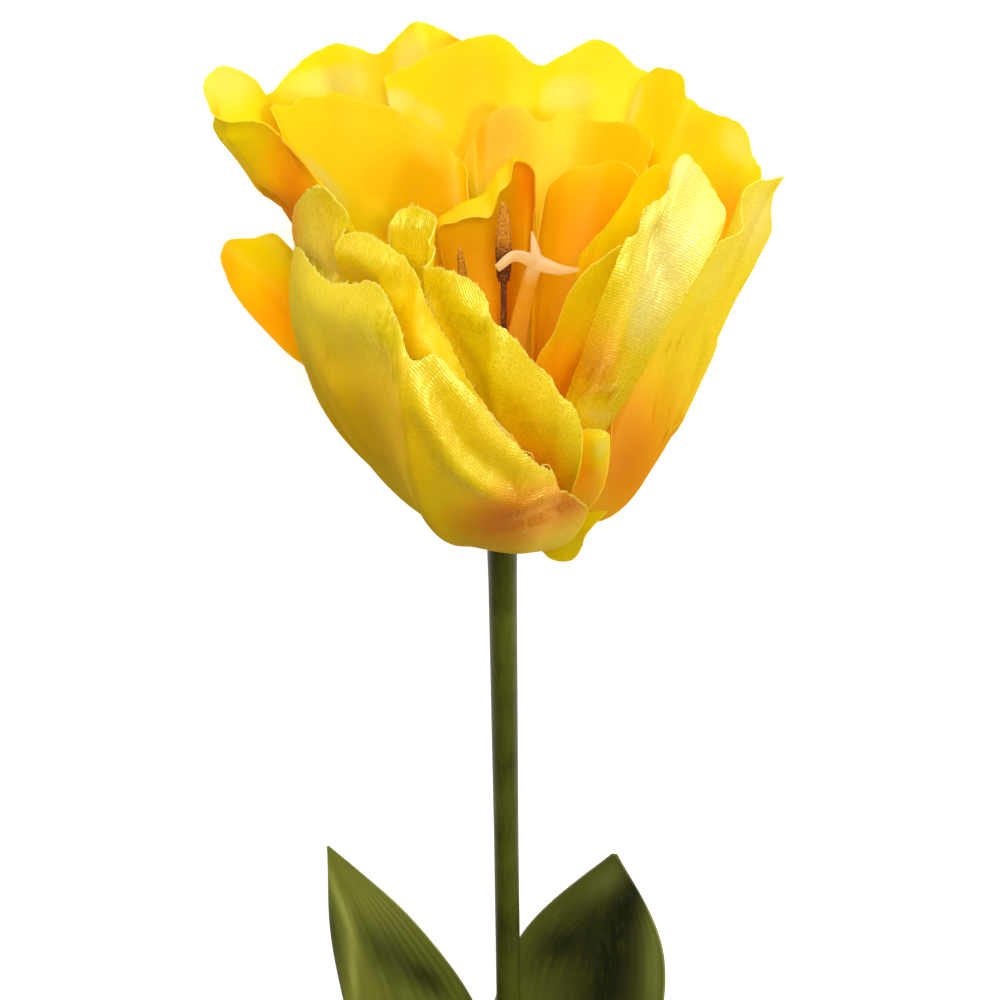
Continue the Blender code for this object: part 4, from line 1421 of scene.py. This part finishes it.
            DyeAndLightPatch(DyeAndLight.LEMON, (-3, 48), (7, 3.6), 35, 0.95),
            DyeAndLightPatch(DyeAndLight.ORANGE, (3.6, 49.5), (1.8, 5), 0, 0.9),
        ),
    ),
    Petal(
        "inner_right", 128, 3,
        (
            seen(5.0, 40, 12), seen(5.5, 44, 13), seen(6.4, 48.4, 15), seen(8, 51, 17),
            seen(10, 52.4, 18.5), seen(13.4, 52.9, 19), seen(16, 53.7, 19), seen(18.6, 52.8, 17),
            seen(20.8, 50.6, 14), seen(21.6, 46, 10),
        ),
        lean=(10, 15, 10), gold=0.9, grain=8, foot_dye=(0.4, 0.9), ruffle=0.15,
        dye_and_light_patches=(
            DyeAndLightPatch(DyeAndLight.ORANGE, (14, 43), (8, 7), 20, 0.85),
            DyeAndLightPatch(DyeAndLight.GOLD, (13, 52.5), (8, 1.8), 10, 0.7),
        ),
    ),
    Petal(
        "right_middle", 86, 3,
        (
            seen(12.4, 34, 0), seen(11.5, 38.4, -1), seen(13.2, 41.2, -2), seen(15.2, 43.2, -2),
            seen(17, 45.6, -2.5), seen(18.6, 48, -2.5), seen(20, 50.4, -2.5), seen(21.6, 52, -3),
            seen(23.4, 52.8, -3), seen(25.4, 51.6, -2), seen(27, 49, 0), around(98, 24, 34),
        ),
        lean=(15, 15, 15), gold=0.35, grain=8, ruffle=0.15,
        dye_and_light_patches=(
            DyeAndLightPatch(DyeAndLight.LEMON, (17, 46), (6, 1.6), 50, 0.7),
            DyeAndLightPatch(DyeAndLight.AMBER, (13, 36), (3, 4), 0, 0.6),
        ),
    ),
    Petal(
        "front_right", 26, 3,
        (
            seen(4.6, 20, -13), seen(5.3, 23.8, -14), seen(7.4, 27, -14.5), seen(9, 31.2, -14.5),
            seen(10.2, 34, -14.5), seen(12.4, 36.8, -14), seen(15, 38.8, -13.5), seen(18.2, 40.8, -12.5),
            seen(20, 38, -10), seen(19.6, 33, -9), seen(18, 28, -9),
        ),
        lean=(5, 0, 5), gold=0.25, grain=-34, foot_dye=(0.3, 0.75), ruffle=0.12, weave=0.7, column_mm=0.45,
        dye_and_light_patches=(
            DyeAndLightPatch(DyeAndLight.ORANGE, (8.5, 22), (5, 4.5), 20, 0.95),
            DyeAndLightPatch(DyeAndLight.LEMON, (13, 35), (6, 3), 45, 0.5),
        ),
    ),
    Petal(
        "right_shiny", 44, 2,
        (
            seen(18.6, 42.0, -24.5), seen(20.6, 43, -23), seen(22.2, 46.6, -20.5), seen(24.3, 48.3, -18.5),
            seen(25.8, 50.2, -17), seen(25.9, 53, -15.5), seen(27.5, 54.6, -15), seen(29, 53.2, -14.5),
            seen(31.2, 50, -14), seen(33.5, 45.8, -14.5), seen(33, 42.6, -15.5),
        ),
        low=(seen(8, 7, -12), seen(8, 3, -17), seen(12, 2, -19)),
        high=(seen(10.5, 26, -34), seen(18, 22, -32), seen(22, 24, -27)),
        gold=0.0, grain=-14, foot_dye=(0.02, 0.2), ruffle=0.15, crease=0.02, weave=1.0, column_mm=0.3,
        frayed=0.3, even_mm=3.5,
        folds=(
            Fold(((19.5, 40.5), (17, 33), (14.2, 26), (13, 22)), 1.2, 3.0),
            Fold(((22, 43), (23.6, 38.5), (24.6, 33)), -0.8, 1.4),
            Fold(((22.5, 46.5), (20.8, 42.8)), -0.5, 0.7),
            Fold(((12, 22), (14.5, 20.5), (18.5, 22)), 0.9, 2.6),
            Fold(((11.5, 18), (16.5, 17.2)), -1.0, 1.3),
        ),
        dye_and_light_patches=(
            DyeAndLightPatch(DyeAndLight.AMBER, (13.5, 24.5), (5, 7), -25, 0.8),
            # Painted shade: rust-coloured orange on the ridge low on the lobe
            DyeAndLightPatch(DyeAndLight.ORANGE_IN_SHADE, (14, 23), (3.4, 4), -25, 0.4),
            # Painted highlights: pale patches down the lit middle of the lobe and at its tip
            DyeAndLightPatch(DyeAndLight.PALE_AND_HIGHLIGHT, (26, 41), (11, 4.6), 66, 0.75),
            DyeAndLightPatch(DyeAndLight.PALE_AND_HIGHLIGHT, (27.5, 52.5), (3, 2.4), 60, 0.8),
            DyeAndLightPatch(DyeAndLight.PALE_AND_HIGHLIGHT, (21.5, 31), (7, 2.6), 66, 0.55),
            DyeAndLightPatch(DyeAndLight.LEMON, (19.5, 22), (4, 2.4), 60, 0.6),
            # Painted light: the lit facet under the lobe made lemon and pale
            DyeAndLightPatch(DyeAndLight.LEMON, (14, 15.5), (3.6, 1.8), -20, 0.9),
            DyeAndLightPatch(DyeAndLight.PALE_AND_HIGHLIGHT, (14, 15.5), (3.0, 1.2), -20, 0.25),
        ),
    ),
    Petal(
        "right_rolled", 82, 1,
        (
            seen(14.2, 2.2, -14), seen(15.2, 5.4, -16), seen(16.2, 9.6, -18), seen(16.5, 14, -19),
            seen(17.2, 17.4, -19.5), seen(20.3, 20.0, -19.5), seen(24, 27, -19), seen(26.6, 33, -18),
            seen(29.4, 37.2, -16.5), seen(32.4, 41, -13.5), seen(34.6, 42.2, -11.5), seen(36.4, 43.4, -10),
            seen(36, 46.2, -8), seen(36.6, 49.2, -7), seen(38.8, 50.6, -5), seen(40.4, 50.6, -3),
            seen(42.3, 51.1, -2), seen(41, 49.2, 0), seen(40.4, 46, 2), seen(40.2, 42, 4),
            around(96, 34, 34), around(98, 29, 22),
        ),
        lean=(20, 24, 29), spread=(1.2, 1.85, 1.4), lift=(2, -4.9, 0), gold=0.0, grain=-22,
        foot_dye=(0.1, 0.3), ruffle=0.1, crease=0.0, weave=0.6, column_mm=0.3, frayed=0.2, even_mm=4.0,
        matt=(((20, 7), (14, 5), 68, 0.8),),
        folds=(
            Fold(((32, 30), (29.4, 24), (26.5, 17), (24, 11)), 1.5, 3.4),
            Fold(((27, 28), (24.6, 21.5), (22.5, 14)), -0.7, 2.4),
        ),
        dye_and_light_patches=(
            # Painted highlights: a pale streak along the roll and a pale patch on the top flap
            DyeAndLightPatch(DyeAndLight.PALE_AND_HIGHLIGHT, (29, 31), (10, 2.4), 62, 0.35),
            DyeAndLightPatch(DyeAndLight.PALE_AND_HIGHLIGHT, (38.6, 45), (5, 2.4), 75, 0.5),
            DyeAndLightPatch(DyeAndLight.ORANGE, (19, 10), (6, 11), -15, 0.95),
            # Painted shade: the orange darkened low on the roll
            DyeAndLightPatch(DyeAndLight.ORANGE_IN_SHADE, (19, 8), (5, 9), -15, 0.5),
            DyeAndLightPatch(DyeAndLight.GOLD, (27, 26), (4, 9), -30, 0.4),
        ),
    ),
    Petal(
        "right_low", 122, 0,
        (
            around(104, 27, 13), around(107, 33, 24), around(114, 38, 34), around(124, 40.5, 40),
            around(135, 40.5, 40), around(144, 38, 34), around(149, 33, 24), around(150, 26, 13),
        ),
        lean=(30, 30, 30), gold=0.4, grain=8,
    ),
    Petal(
        "low_right", 36, 1,
        (
            seen(10, 4, -18.5), seen(10.2, 8, -22.5), seen(10.9, 11.4, -25), seen(11.6, 12.9, -26),
            seen(13.6, 12.9, -26), seen(15.8, 12.5, -25.5), seen(16.1, 10.4, -24), seen(15.8, 8, -22.5),
            seen(15, 5.4, -20.5), seen(13.6, 3.4, -18.5),
        ),
        lean=(0, -6, -10), gold=0.5, grain=8, foot_dye=(0.05, 0.3), ruffle=0.08, weave=0.5, column_mm=0.45,
        even_mm=1.0,
        folds=(
            Fold(((13.9, 12.6), (14.2, 9.4), (13.4, 5.6)), 0.5, 1.2),
        ),
        dye_and_light_patches=(
            DyeAndLightPatch(DyeAndLight.ORANGE, (12.6, 6.5), (2.6, 5.0), 0, 0.95),
            # Painted highlight: lemon and pale at the top right, where the petal catches the light
            DyeAndLightPatch(DyeAndLight.LEMON, (14.8, 10.2), (3.0, 1.4), 75, 0.85),
            DyeAndLightPatch(DyeAndLight.PALE_AND_HIGHLIGHT, (14.4, 10.4), (3.4, 1.8), 60, 0.35),
        ),
    ),
    Petal(
        "hanging_tip", 38, 0,
        (
            seen(6.2, -5.2, -11), seen(7.0, -6.4, -12.5), seen(8.8, -7.0, -13.5), seen(10.4, -6.9, -14),
            seen(11.7, -5.6, -14.5), seen(12.4, -3.4, -15), seen(13.6, -1.6, -15.5), seen(15.6, 0.6, -16),
        ),
        lean=(60, 60, 60), gold=0.0, grain=8, foot_dye=(0.02, 0.15), ruffle=0.08,
    ),
)


@dataclass
class Bloom:
    """The nineteen satin petals, and the threads that have come loose from their rims."""

    petals: tuple = PETALS
    satin: Satin = Satin()
    thread_radius: float = 0.07

    def build(self) -> None:
        """Makes the petals in order, each with its own random waves, then all their loose threads."""
        material = self.satin.material()
        lines = []
        for seed, petal in enumerate(self.petals):
            lines += petal.build(seed + 11, material)
        radii = [[self.thread_radius] * len(line) for line in lines]
        made = strands("frayed_threads", lines, radii, 0)
        made.data.shade_smooth()
        add_attribute(made, "dye", np.full((len(made.data.vertices), 3), DyeAndLight.PALE_AND_HIGHLIGHT.value) * 0.7)
        lay_down(made)
        hand_over(made, Slot.PETALS, material)


@dataclass
class Leaf:
    """One long leaf, which clasps the stem at its foot and opens as it rises."""

    name: str
    path: tuple
    azimuths: tuple
    breadths: tuple
    hollows: tuple
    # shades are patches of painted shade and lights patches of painted light, each as its middle as the
    # viewer sees it, its size, its turn and its amount
    shades: tuple = ()
    lights: tuple = ()

    thickness: float = 0.5
    rows: int = 120
    columns: int = 60
    vein_mm: float = 1.9
    vein_depth: float = 0.07
    midrib_width: float = 0.9
    midrib_depth: float = 0.35
    # The margin waves up and down, and the waves die away at this distance from it
    wave: float = 0.25
    wave_mm: float = 13.0
    margin: float = 7.0
    # The pressed pattern fades in over this much of the foot, which is gathered round the stem
    foot: float = 12.0

    def point(self, t: float, s: float) -> Vector:
        """Gives a point of the leaf.

        Args:
            t: The place across it, from 0 at its left edge to 1 at its right.
            s: The place up it, from 0 at its foot to 1 at its tip.

        Returns:
            The point of the upright flower.
        """
        a, b, c, d = self.path
        centre = a * (1 - s) ** 3 + b * 3 * s * (1 - s) ** 2 + c * 3 * s * s * (1 - s) + d * s ** 3
        azimuth = smooth(self.azimuths, s)
        hollow = smooth(self.hollows, s)
        turn = (t - 0.5) * smooth(self.breadths, s) / hollow
        side = around(azimuth + 90, 1, 0)
        back = around(azimuth, 1, 0)
        return centre + side * hollow * math.sin(turn) - back * hollow * (1 - math.cos(turn))

    def build(self, seed: int, material: bpy.types.Material) -> None:
        """Makes the leaf with its pressed veins and hands it over.

        Args:
            seed: Which leaf this is, for its random waves.
            material: The leaf cloth.
        """
        grid = np.array([
            [[*self.point(i / self.columns, j / self.rows)] for i in range(self.columns + 1)]
            for j in range(self.rows + 1)
        ])
        up = np.linalg.norm(np.diff(grid, axis=0), axis=-1).cumsum(axis=0)
        up = np.concatenate([np.zeros((1, grid.shape[1])), up])
        across = np.linspace(-0.5, 0.5, self.columns + 1)[None]
        width = np.linalg.norm(np.diff(grid, axis=1), axis=-1).sum(axis=1)[:, None]
        out = across * width
        edge = (0.5 - np.abs(across)) * width
        veins = np.cos(across * 2 * math.pi * width.max() / self.vein_mm)
        relief = self.vein_depth * veins * rising(edge, 0.2, 1.6)
        relief = relief - self.midrib_depth * np.exp(-(out / self.midrib_width) ** 2)
        relief = relief * rising(width, 2.0, 0.8 * width.max())
        relief = relief + self.wave * ripple(up, self.wave_mm, seed) * (1 - rising(edge, 0.5, self.margin))
        relief = relief * rising(up, 1.0, self.foot)
        moved = grid + Petal.normals(grid) * relief[..., None]
        flat, _ = as_viewed(grid)
        # The first channel takes the painted shade and the second the painted light
        dye = np.zeros(grid.shape)
        for channel, patches in enumerate((self.shades, self.lights)):
            for middle, size, turn, amount in patches:
                dye[..., channel] += (1 - dye[..., channel]) * amount * patch(flat, middle, size, turn)
        cloth = np.stack([out + CLOTH_START / 2, up, edge + 0 * up], axis=-1)
        made = cloth_sheet("cloth_" + self.name, moved, self.thickness, cloth=cloth, dye=dye)
        hand_over(made, Slot.LEAVES, material, self.name)


@dataclass
class Foliage:
    """The two leaves."""

    cloth: LeafCloth = LeafCloth()
    leaves: tuple = (
        Leaf(
            "leaf_left",
            (
                around(-112, 2.75, 0) + on_stem(-158), Vector((-9.5, 2.4, -130)), seen(-10.4, -77, 3.5),
                seen(-26.4, -50.2, -1),
            ),
            azimuths=(-112, -130, -150, -160, -165),
            breadths=(5.6, 12, 18, 22.5, 24, 21.5, 14, 0.4),
            hollows=(2.75, 6, 12, 18, 22, 24),
            # Painted shade: darker patches where the leaf cups away from the light, and a dark strip beside
            # its rolled left margin
            shades=(
                ((-17.5, -66), (6, 3.6), -50, 0.6),
                ((-11.5, -70), (4.5, 2), -42, 0.8),
                ((-25.8, -63), (9, 1.0), -80, 0.6),
                ((-13, -88), (12, 6), -80, 0.6),
            ),
            # Painted light: a pale line along the rolled left margin and a broad soft patch higher up
            lights=(
                ((-24.4, -59), (7, 0.6), -70, 0.8),
                ((-22.8, -68), (7, 0.7), -86, 0.7),
                ((-19, -58), (8, 3), -40, 0.3),
            ),
        ),
        Leaf(
            "leaf_right",
            (
                around(112, 2.75, 0) + on_stem(-170), Vector((14.5, 7.5, -136)), seen(9.0, -78, 10),
                seen(16.8, -51.4, 3),
            ),
            azimuths=(112, 130, 150, 165, 172),
            breadths=(5.6, 13, 21, 29, 33, 31, 24, 0.8),
            hollows=(2.75, 7, 14, 21, 26, 30),
            # Painted shade: the dark hollow inside the cupped leaf
            shades=(
                ((13, -66), (18, 12), 80, 0.5),
                ((16, -69), (18, 5), 84, 0.9),
                ((9, -64.5), (6, 3.4), 35, 0.8),
                ((19, -58.5), (6, 2.2), 68, 0.8),
            ),
            # Painted light: a lighter band along the right margin and a small soft patch higher up
            lights=(
                ((23.0, -67), (12, 1.6), 90, 0.6),
                ((15.5, -55), (4, 2), 42, 0.3),
            ),
        ),
    )

    def build(self) -> None:
        """Makes both leaves."""
        material = self.cloth.material()
        for seed, leaf in enumerate(self.leaves):
            leaf.build(seed + 301, material)


@dataclass
class CutStem:
    """The coated wire with its post, and the wire's bare end."""

    coating: StemCoating = StemCoating()
    wire: BareWire = BareWire()
    # The stem from its cut end to the post that the petals are threaded on, as (radius, height)
    profile: tuple = (
        (1.5, -240.0), (1.85, -239.75), (2.0, -239.4), (2.0, -232.0), (2.0, -200.0), (2.0, -150.0),
        (2.02, -105.0), (2.0, -60.0), (2.1, -36.0), (2.2, -12.0), (2.35, -2.4), (3.0, -0.6), (3.8, 1.2),
        (3.8, 9.3), (3.1, 10.0),
    )
    sides: int = 40
    wire_radius: float = 0.7
    wire_length: float = 2.0
    wire_proud: float = 0.25
    wire_bevel: float = 0.12

    def build(self) -> None:
        """Makes the coated stem and the wire's end."""
        self.draw_coating()
        self.crop_wire()

    def draw_coating(self) -> None:
        """Extrudes the coating ring by ring from the cut end to the post's top."""
        bpy.ops.object.select_all(action="DESELECT")
        radius, height = self.profile[0]
        place = on_stem(height)
        bpy.ops.mesh.primitive_circle_add(vertices=self.sides, radius=radius, fill_type="NGON",
                                          location=place)
        coat = bpy.context.object
        coat.name = coat.data.name = "coated_stem"
        bpy.ops.object.transform_apply(location=True, rotation=True, scale=True)
        bpy.ops.object.mode_set(mode="EDIT")
        bpy.ops.mesh.select_all(action="SELECT")
        for after, top in self.profile[1:]:
            step = on_stem(top) - place
            bpy.ops.mesh.extrude_region_move(TRANSFORM_OT_translate={"value": step})
            place = on_stem(top)
            share = after / radius
            bpy.ops.transform.resize(value=(share, share, 1), center_override=place)
            radius = after
        bpy.ops.mesh.select_all(action="SELECT")
        bpy.ops.mesh.normals_make_consistent(inside=False)
        bpy.ops.object.mode_set(mode="OBJECT")
        bpy.ops.object.shade_smooth_by_angle(angle=math.radians(50))
        lay_down(coat)
        hand_over(coat, Slot.STEM, self.coating.material(), "stem")

    def crop_wire(self) -> None:
        """Lets the wire's end stand out of the coating, its edge dulled by the pliers."""
        end = on_stem(self.profile[0][1])
        middle = end + Vector((0, 0, self.wire_length / 2 - self.wire_proud))
        bpy.ops.object.select_all(action="DESELECT")
        bpy.ops.mesh.primitive_cylinder_add(vertices=24, radius=self.wire_radius, depth=self.wire_length,
                                            location=middle)
        core = bpy.context.object
        core.name = core.data.name = "wire_end"
        bpy.ops.object.transform_apply(location=True, rotation=True, scale=True)
        cropped = core.modifiers.new("Cropped edge", "BEVEL")
        cropped.width = self.wire_bevel
        cropped.segments = 2
        bpy.ops.object.modifier_apply(modifier=cropped.name)
        bpy.ops.object.shade_smooth_by_angle(angle=math.radians(40))
        lay_down(core)
        hand_over(core, Slot.STEM, self.wire.material())


@dataclass
class Stamens:
    """Five flocked anthers on plastic filaments, on one ring round the pistil."""

    flock: Flock = Flock()
    ring: tuple = (3.1, 11.0, 0.6)
    tips: tuple = (
        Vector((0.1, 4.6, 49.2)), Vector((-6.2, -1.6, 44.8)), Vector((-5.2, -9.0, 41.5)),
        Vector((2.2, -10.0, 34.0)), Vector((9.0, -6.8, 36.5)),
    )
    sizes: tuple = (0.84, 0.74, 0.65, 0.65, 0.65)
    filament_radius: float = 0.48
    filament_bow: float = 0.6
    # The share of a stamen's length that its anther takes up, and each of its two lobes, before it is sized
    anther_share: float = 0.32
    lobe_radius: float = 0.9
    lobe_apart: float = 0.5
    cell: float = 0.16
    grain: float = 0.1
    grain_draw: int = 71
    # How gilt an anther gets, and how far above its foot that starts and is full
    gilt: float = 0.8
    gilt_from: tuple = (3.0, 8.0)

    def build(self) -> None:
        """Makes the ring, the filaments and the anthers, melts them together and roughens the flock."""
        radius, height, thickness = self.ring
        bpy.ops.object.select_all(action="DESELECT")
        bpy.ops.mesh.primitive_torus_add(major_radius=radius, minor_radius=thickness, major_segments=48,
                                         minor_segments=12, location=(0, 0, height))
        bpy.ops.object.transform_apply(location=True, rotation=True, scale=True)
        parts = [bpy.context.object]
        for tip, size in zip(self.tips, self.sizes):
            parts += self.stamen(tip, size)
        made = fuse(parts, "flocked_stamens")
        melt(made, self.cell, 2)
        self.dust(made)
        lay_down(made)
        hand_over(made, Slot.STAMENS, self.flock.material(), "stamens")

    def foot(self, tip: Vector) -> tuple[Vector, Vector]:
        """Gives the way that a stamen leans, seen from above, and its foot on the ring."""
        outward = Vector((tip.x, tip.y, 0)).normalized()
        return outward, outward * self.ring[0] + Vector((0, 0, self.ring[1]))

    def stamen(self, tip: Vector, size: float) -> list[bpy.types.Object]:
        """Makes a filament and the two lobes of its anther.

        Args:
            tip: The anther's tip.
            size: How thick the anther is, as a share of a full one.

        Returns:
            The three meshes.
        """
        outward, foot = self.foot(tip)
        middle = foot.lerp(tip, 0.5) + outward * self.filament_bow
        line = spline([foot, middle, tip], 24)
        made = [rod("filament", line[:20], [self.filament_radius] * 20)]
        low = line[-1].lerp(line[0], self.anther_share)
        # A lobe swells quickly from its foot and closes bluntly at its tip
        bulge = [math.sin(math.pi * (0.08 + 0.88 * k / 12) ** 0.75) ** 0.5 for k in range(13)]
        for side in (-1, 1):
            shift = outward.cross(Vector((0, 0, 1))) * side * self.lobe_apart * size
            path = [low.lerp(tip, k / 12) + shift * bulge[k] for k in range(13)]
            made.append(rod("lobe", path, [self.lobe_radius * size * b for b in bulge], 4))
        return made

    def dust(self, made: bpy.types.Object) -> None:
        """Roughens the anthers with flock and gilds them towards their tips.

        Args:
            made: The melted stamens, whose mesh gets the "gilt" attribute.
        """
        points = np.zeros(len(made.data.vertices) * 3)
        normals = np.zeros(len(made.data.vertices) * 3)
        made.data.vertices.foreach_get("co", points)
        made.data.vertices.foreach_get("normal", normals)
        points, normals = points.reshape(-1, 3), normals.reshape(-1, 3)
        fuzz = np.random.default_rng(self.grain_draw).uniform(-1, 1, len(points)) * self.grain
        above = np.max([self.above_anther_foot(points, tip) for tip in self.tips], axis=0)
        points += normals * (fuzz * rising(above, -0.2, 0.2))[:, None]
        made.data.vertices.foreach_set("co", points.astype(np.float32).ravel())
        add_attribute(made, "gilt", self.gilt * rising(above, *self.gilt_from)[:, None])

    def above_anther_foot(self, points: np.ndarray, tip: Vector) -> np.ndarray:
        """Gives how far points are above the foot of one anther.

        Args:
            points: The points of the upright flower.
            tip: The anther's tip.

        Returns:
            Millimetres along the stamen, far below 0 for points that aren't on it.
        """
        _, foot = self.foot(tip)
        up = (tip - foot).normalized()
        low = tip.lerp(foot, self.anther_share)
        along = (points - np.array(low)) @ np.array(up)
        off = np.linalg.norm(points - np.array(low) - along[:, None] * np.array(up), axis=-1)
        return np.where(off < 2.6, along, -99.0)


@dataclass
class Pistil:
    """The column and the stigma's three slender arms, moulded in one piece."""

    plastic: SoftPlastic = SoftPlastic()
    foot: Vector = field(default_factory=lambda: Vector((0, 0, 10.4)))
    top: Vector = field(default_factory=lambda: Vector((4.9, 0.2, 42.6)))
    # Each arm as its tip, how high it arches, and its radius at the root and at the tip
    arms: tuple = (
        (Vector((-0.9, -2.4, 42.0)), 1.6, 1.0, 0.6),
        (Vector((10.9, -4.0, 42.6)), -0.5, 1.2, 0.2),
        (Vector((4.2, 4.6, 44.6)), 0.0, 0.95, 0.2),
    )
    # The column's lean half way up, its radius at the foot and at the top, and where along it that changes
    lean: Vector = field(default_factory=lambda: Vector((1.2, 0, 20)))
    thick: float = 1.7
    slender: float = 1.1
    narrowing: tuple = (0.3, 0.9)
    arm_root: float = 0.9
    cell: float = 0.15
    # How far below the top the plastic starts to look deeper, and where it is deepest
    deeper: tuple = (1.0, 4.5)

    def build(self) -> None:
        """Makes the column and the arms, melts them together and hands them over."""
        made = fuse([self.column(), *(self.arm(*arm) for arm in self.arms)], "moulded_pistil")
        melt(made, self.cell, 4)
        points = np.zeros(len(made.data.vertices) * 3)
        made.data.vertices.foreach_get("co", points)
        add_attribute(made, "depth", rising(self.top.z - points[2::3], *self.deeper)[:, None])
        lay_down(made)
        hand_over(made, Slot.PISTIL, self.plastic.material(), "pistil")

    def column(self) -> bpy.types.Object:
        """Makes the column, which leans to the right and narrows towards its top.

        Returns:
            Its mesh.
        """
        steps = [k / 24 for k in range(25)]
        bend = self.foot + self.lean
        line = [self.foot * (1 - s) ** 2 + bend * 2 * s * (1 - s) + self.top * s * s for s in steps]
        narrowed = rising(np.array(steps), *self.narrowing)
        radii = [float(self.thick + (self.slender - self.thick) * share) for share in narrowed]
        return rod("column", line, radii, 6)

    def arm(self, tip: Vector, arch: float, thick: float, thin: float) -> bpy.types.Object:
        """Makes one arm of the stigma.

        Args:
            tip: Where it ends.
            arch: How high it arches on its way.
            thick: Its radius at the root.
            thin: Its radius at the tip.

        Returns:
            Its mesh.
        """
        root = self.top + Vector((0, 0, -self.arm_root))
        middle = root.lerp(tip, 0.55) + Vector((0, 0, arch))
        radii = [thick + (thin - thick) * (k / 16) ** 1.3 for k in range(17)]
        return rod("arm", spline([root, middle, tip], 16), radii, 5)


@dataclass
class Studio:
    """A pale floor, soft lights, and the camera, which views the lying bloom as it would the upright one."""

    floor_size: float = 12.0
    floor_colour: str = "#F4F3F1"
    # The floor glows a little, as the lit paper behind the photographed flower does
    floor_glow: float = 0.5
    grain_mm: float = 1.11
    sky_colour: str = "#FFFFFF"
    sky_strength: float = 0.12
    lens_mm: float = 100.1
    shift: tuple = (-0.003, 0.015)
    # Each softbox as its place and its width in metres and its power in watts. All of them face the bloom
    softboxes: tuple = (
        ((0.82, 0.2, 0.58), 0.3, 6.2),
        ((-0.3, 1.12, 0.55), 0.8, 10.5),
        ((0.08, 0.55, 1.1), 0.4, 7.5),
    )
    bloom: tuple = (0.0, 0.12, 0.04)

    def build(self) -> None:
        """Makes the floor, the world, the lights and the camera."""
        self.lay_floor()
        self.light()
        self.set_camera()

    def lay_floor(self) -> None:
        """Lays a plain pale floor under the flower."""
        bpy.ops.object.select_all(action="DESELECT")
        bpy.ops.mesh.primitive_plane_add(size=self.floor_size)
        floor = bpy.context.object
        floor.name = "floor"
        made, tree = new_material("matt white studio paper")
        spot = add_node(tree, "ShaderNodeTexCoord").outputs["Object"]
        grain = add_node(tree, "ShaderNodeTexNoise", {"Vector": spot, "Scale": 1000 / self.grain_mm})
        relief = add_node(tree, "ShaderNodeBump", {"Height": grain, "Strength": 0.05, "Distance": 0.1 * MM})
        surface = add_node(tree, "ShaderNodeBsdfPrincipled",
                           {"Base Color": linear(self.floor_colour), "Roughness": 0.9,
                            "Specular IOR Level": 0.2, "Emission Color": (1, 1, 1, 1),
                            "Emission Strength": self.floor_glow, "Normal": relief})
        add_node(tree, "ShaderNodeOutputMaterial", {"Surface": surface})
        floor.data.materials.append(made)

    def light(self) -> None:
        """Sets the even sky and the softboxes."""
        world = bpy.data.worlds.new("studio")
        bpy.context.scene.world = world
        world.use_nodes = True
        sky = world.node_tree.nodes["Background"]
        sky.inputs["Color"].default_value = linear(self.sky_colour)
        sky.inputs["Strength"].default_value = self.sky_strength
        for i, (place, width, power) in enumerate(self.softboxes):
            lamp = bpy.data.lights.new(f"softbox {i}", "AREA")
            lamp.shape = "DISK"
            lamp.size = width
            lamp.energy = power
            made = bpy.data.objects.new(lamp.name, lamp)
            made.location = place
            made.rotation_euler = (Vector(self.bloom) - Vector(place)).to_track_quat("-Z", "Y").to_euler()
            bpy.context.scene.collection.objects.link(made)
        bpy.context.scene.view_settings.view_transform = "Standard"

    def set_camera(self) -> None:
        """Stands the camera to the lying flower as the viewer stood to the upright one."""
        data = bpy.data.cameras.new("camera")
        data.sensor_width = 36
        data.lens = self.lens_mm
        data.shift_x, data.shift_y = self.shift
        data.clip_start = 0.01
        camera = bpy.data.objects.new("camera", data)
        bpy.context.scene.collection.objects.link(camera)
        right = VIEW_ALONG.cross(VIEW_UP)
        upright = Matrix((right, VIEW_UP, -VIEW_ALONG)).transposed().to_4x4()
        upright.translation = -VIEW_ALONG * VIEW_DISTANCE
        placed = LYING @ upright
        placed.translation = placed.translation * MM
        camera.matrix_world = placed
        bpy.context.scene.camera = camera


def main() -> None:
    """Builds the flower round its solids, then the studio."""
    logging.basicConfig(level=logging.INFO, format="%(message)s")
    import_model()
    for group in (Bloom(), CutStem(), Foliage(), Stamens(), Pistil(), Studio()):
        group.build()


if __name__ == "__main__":
    main()
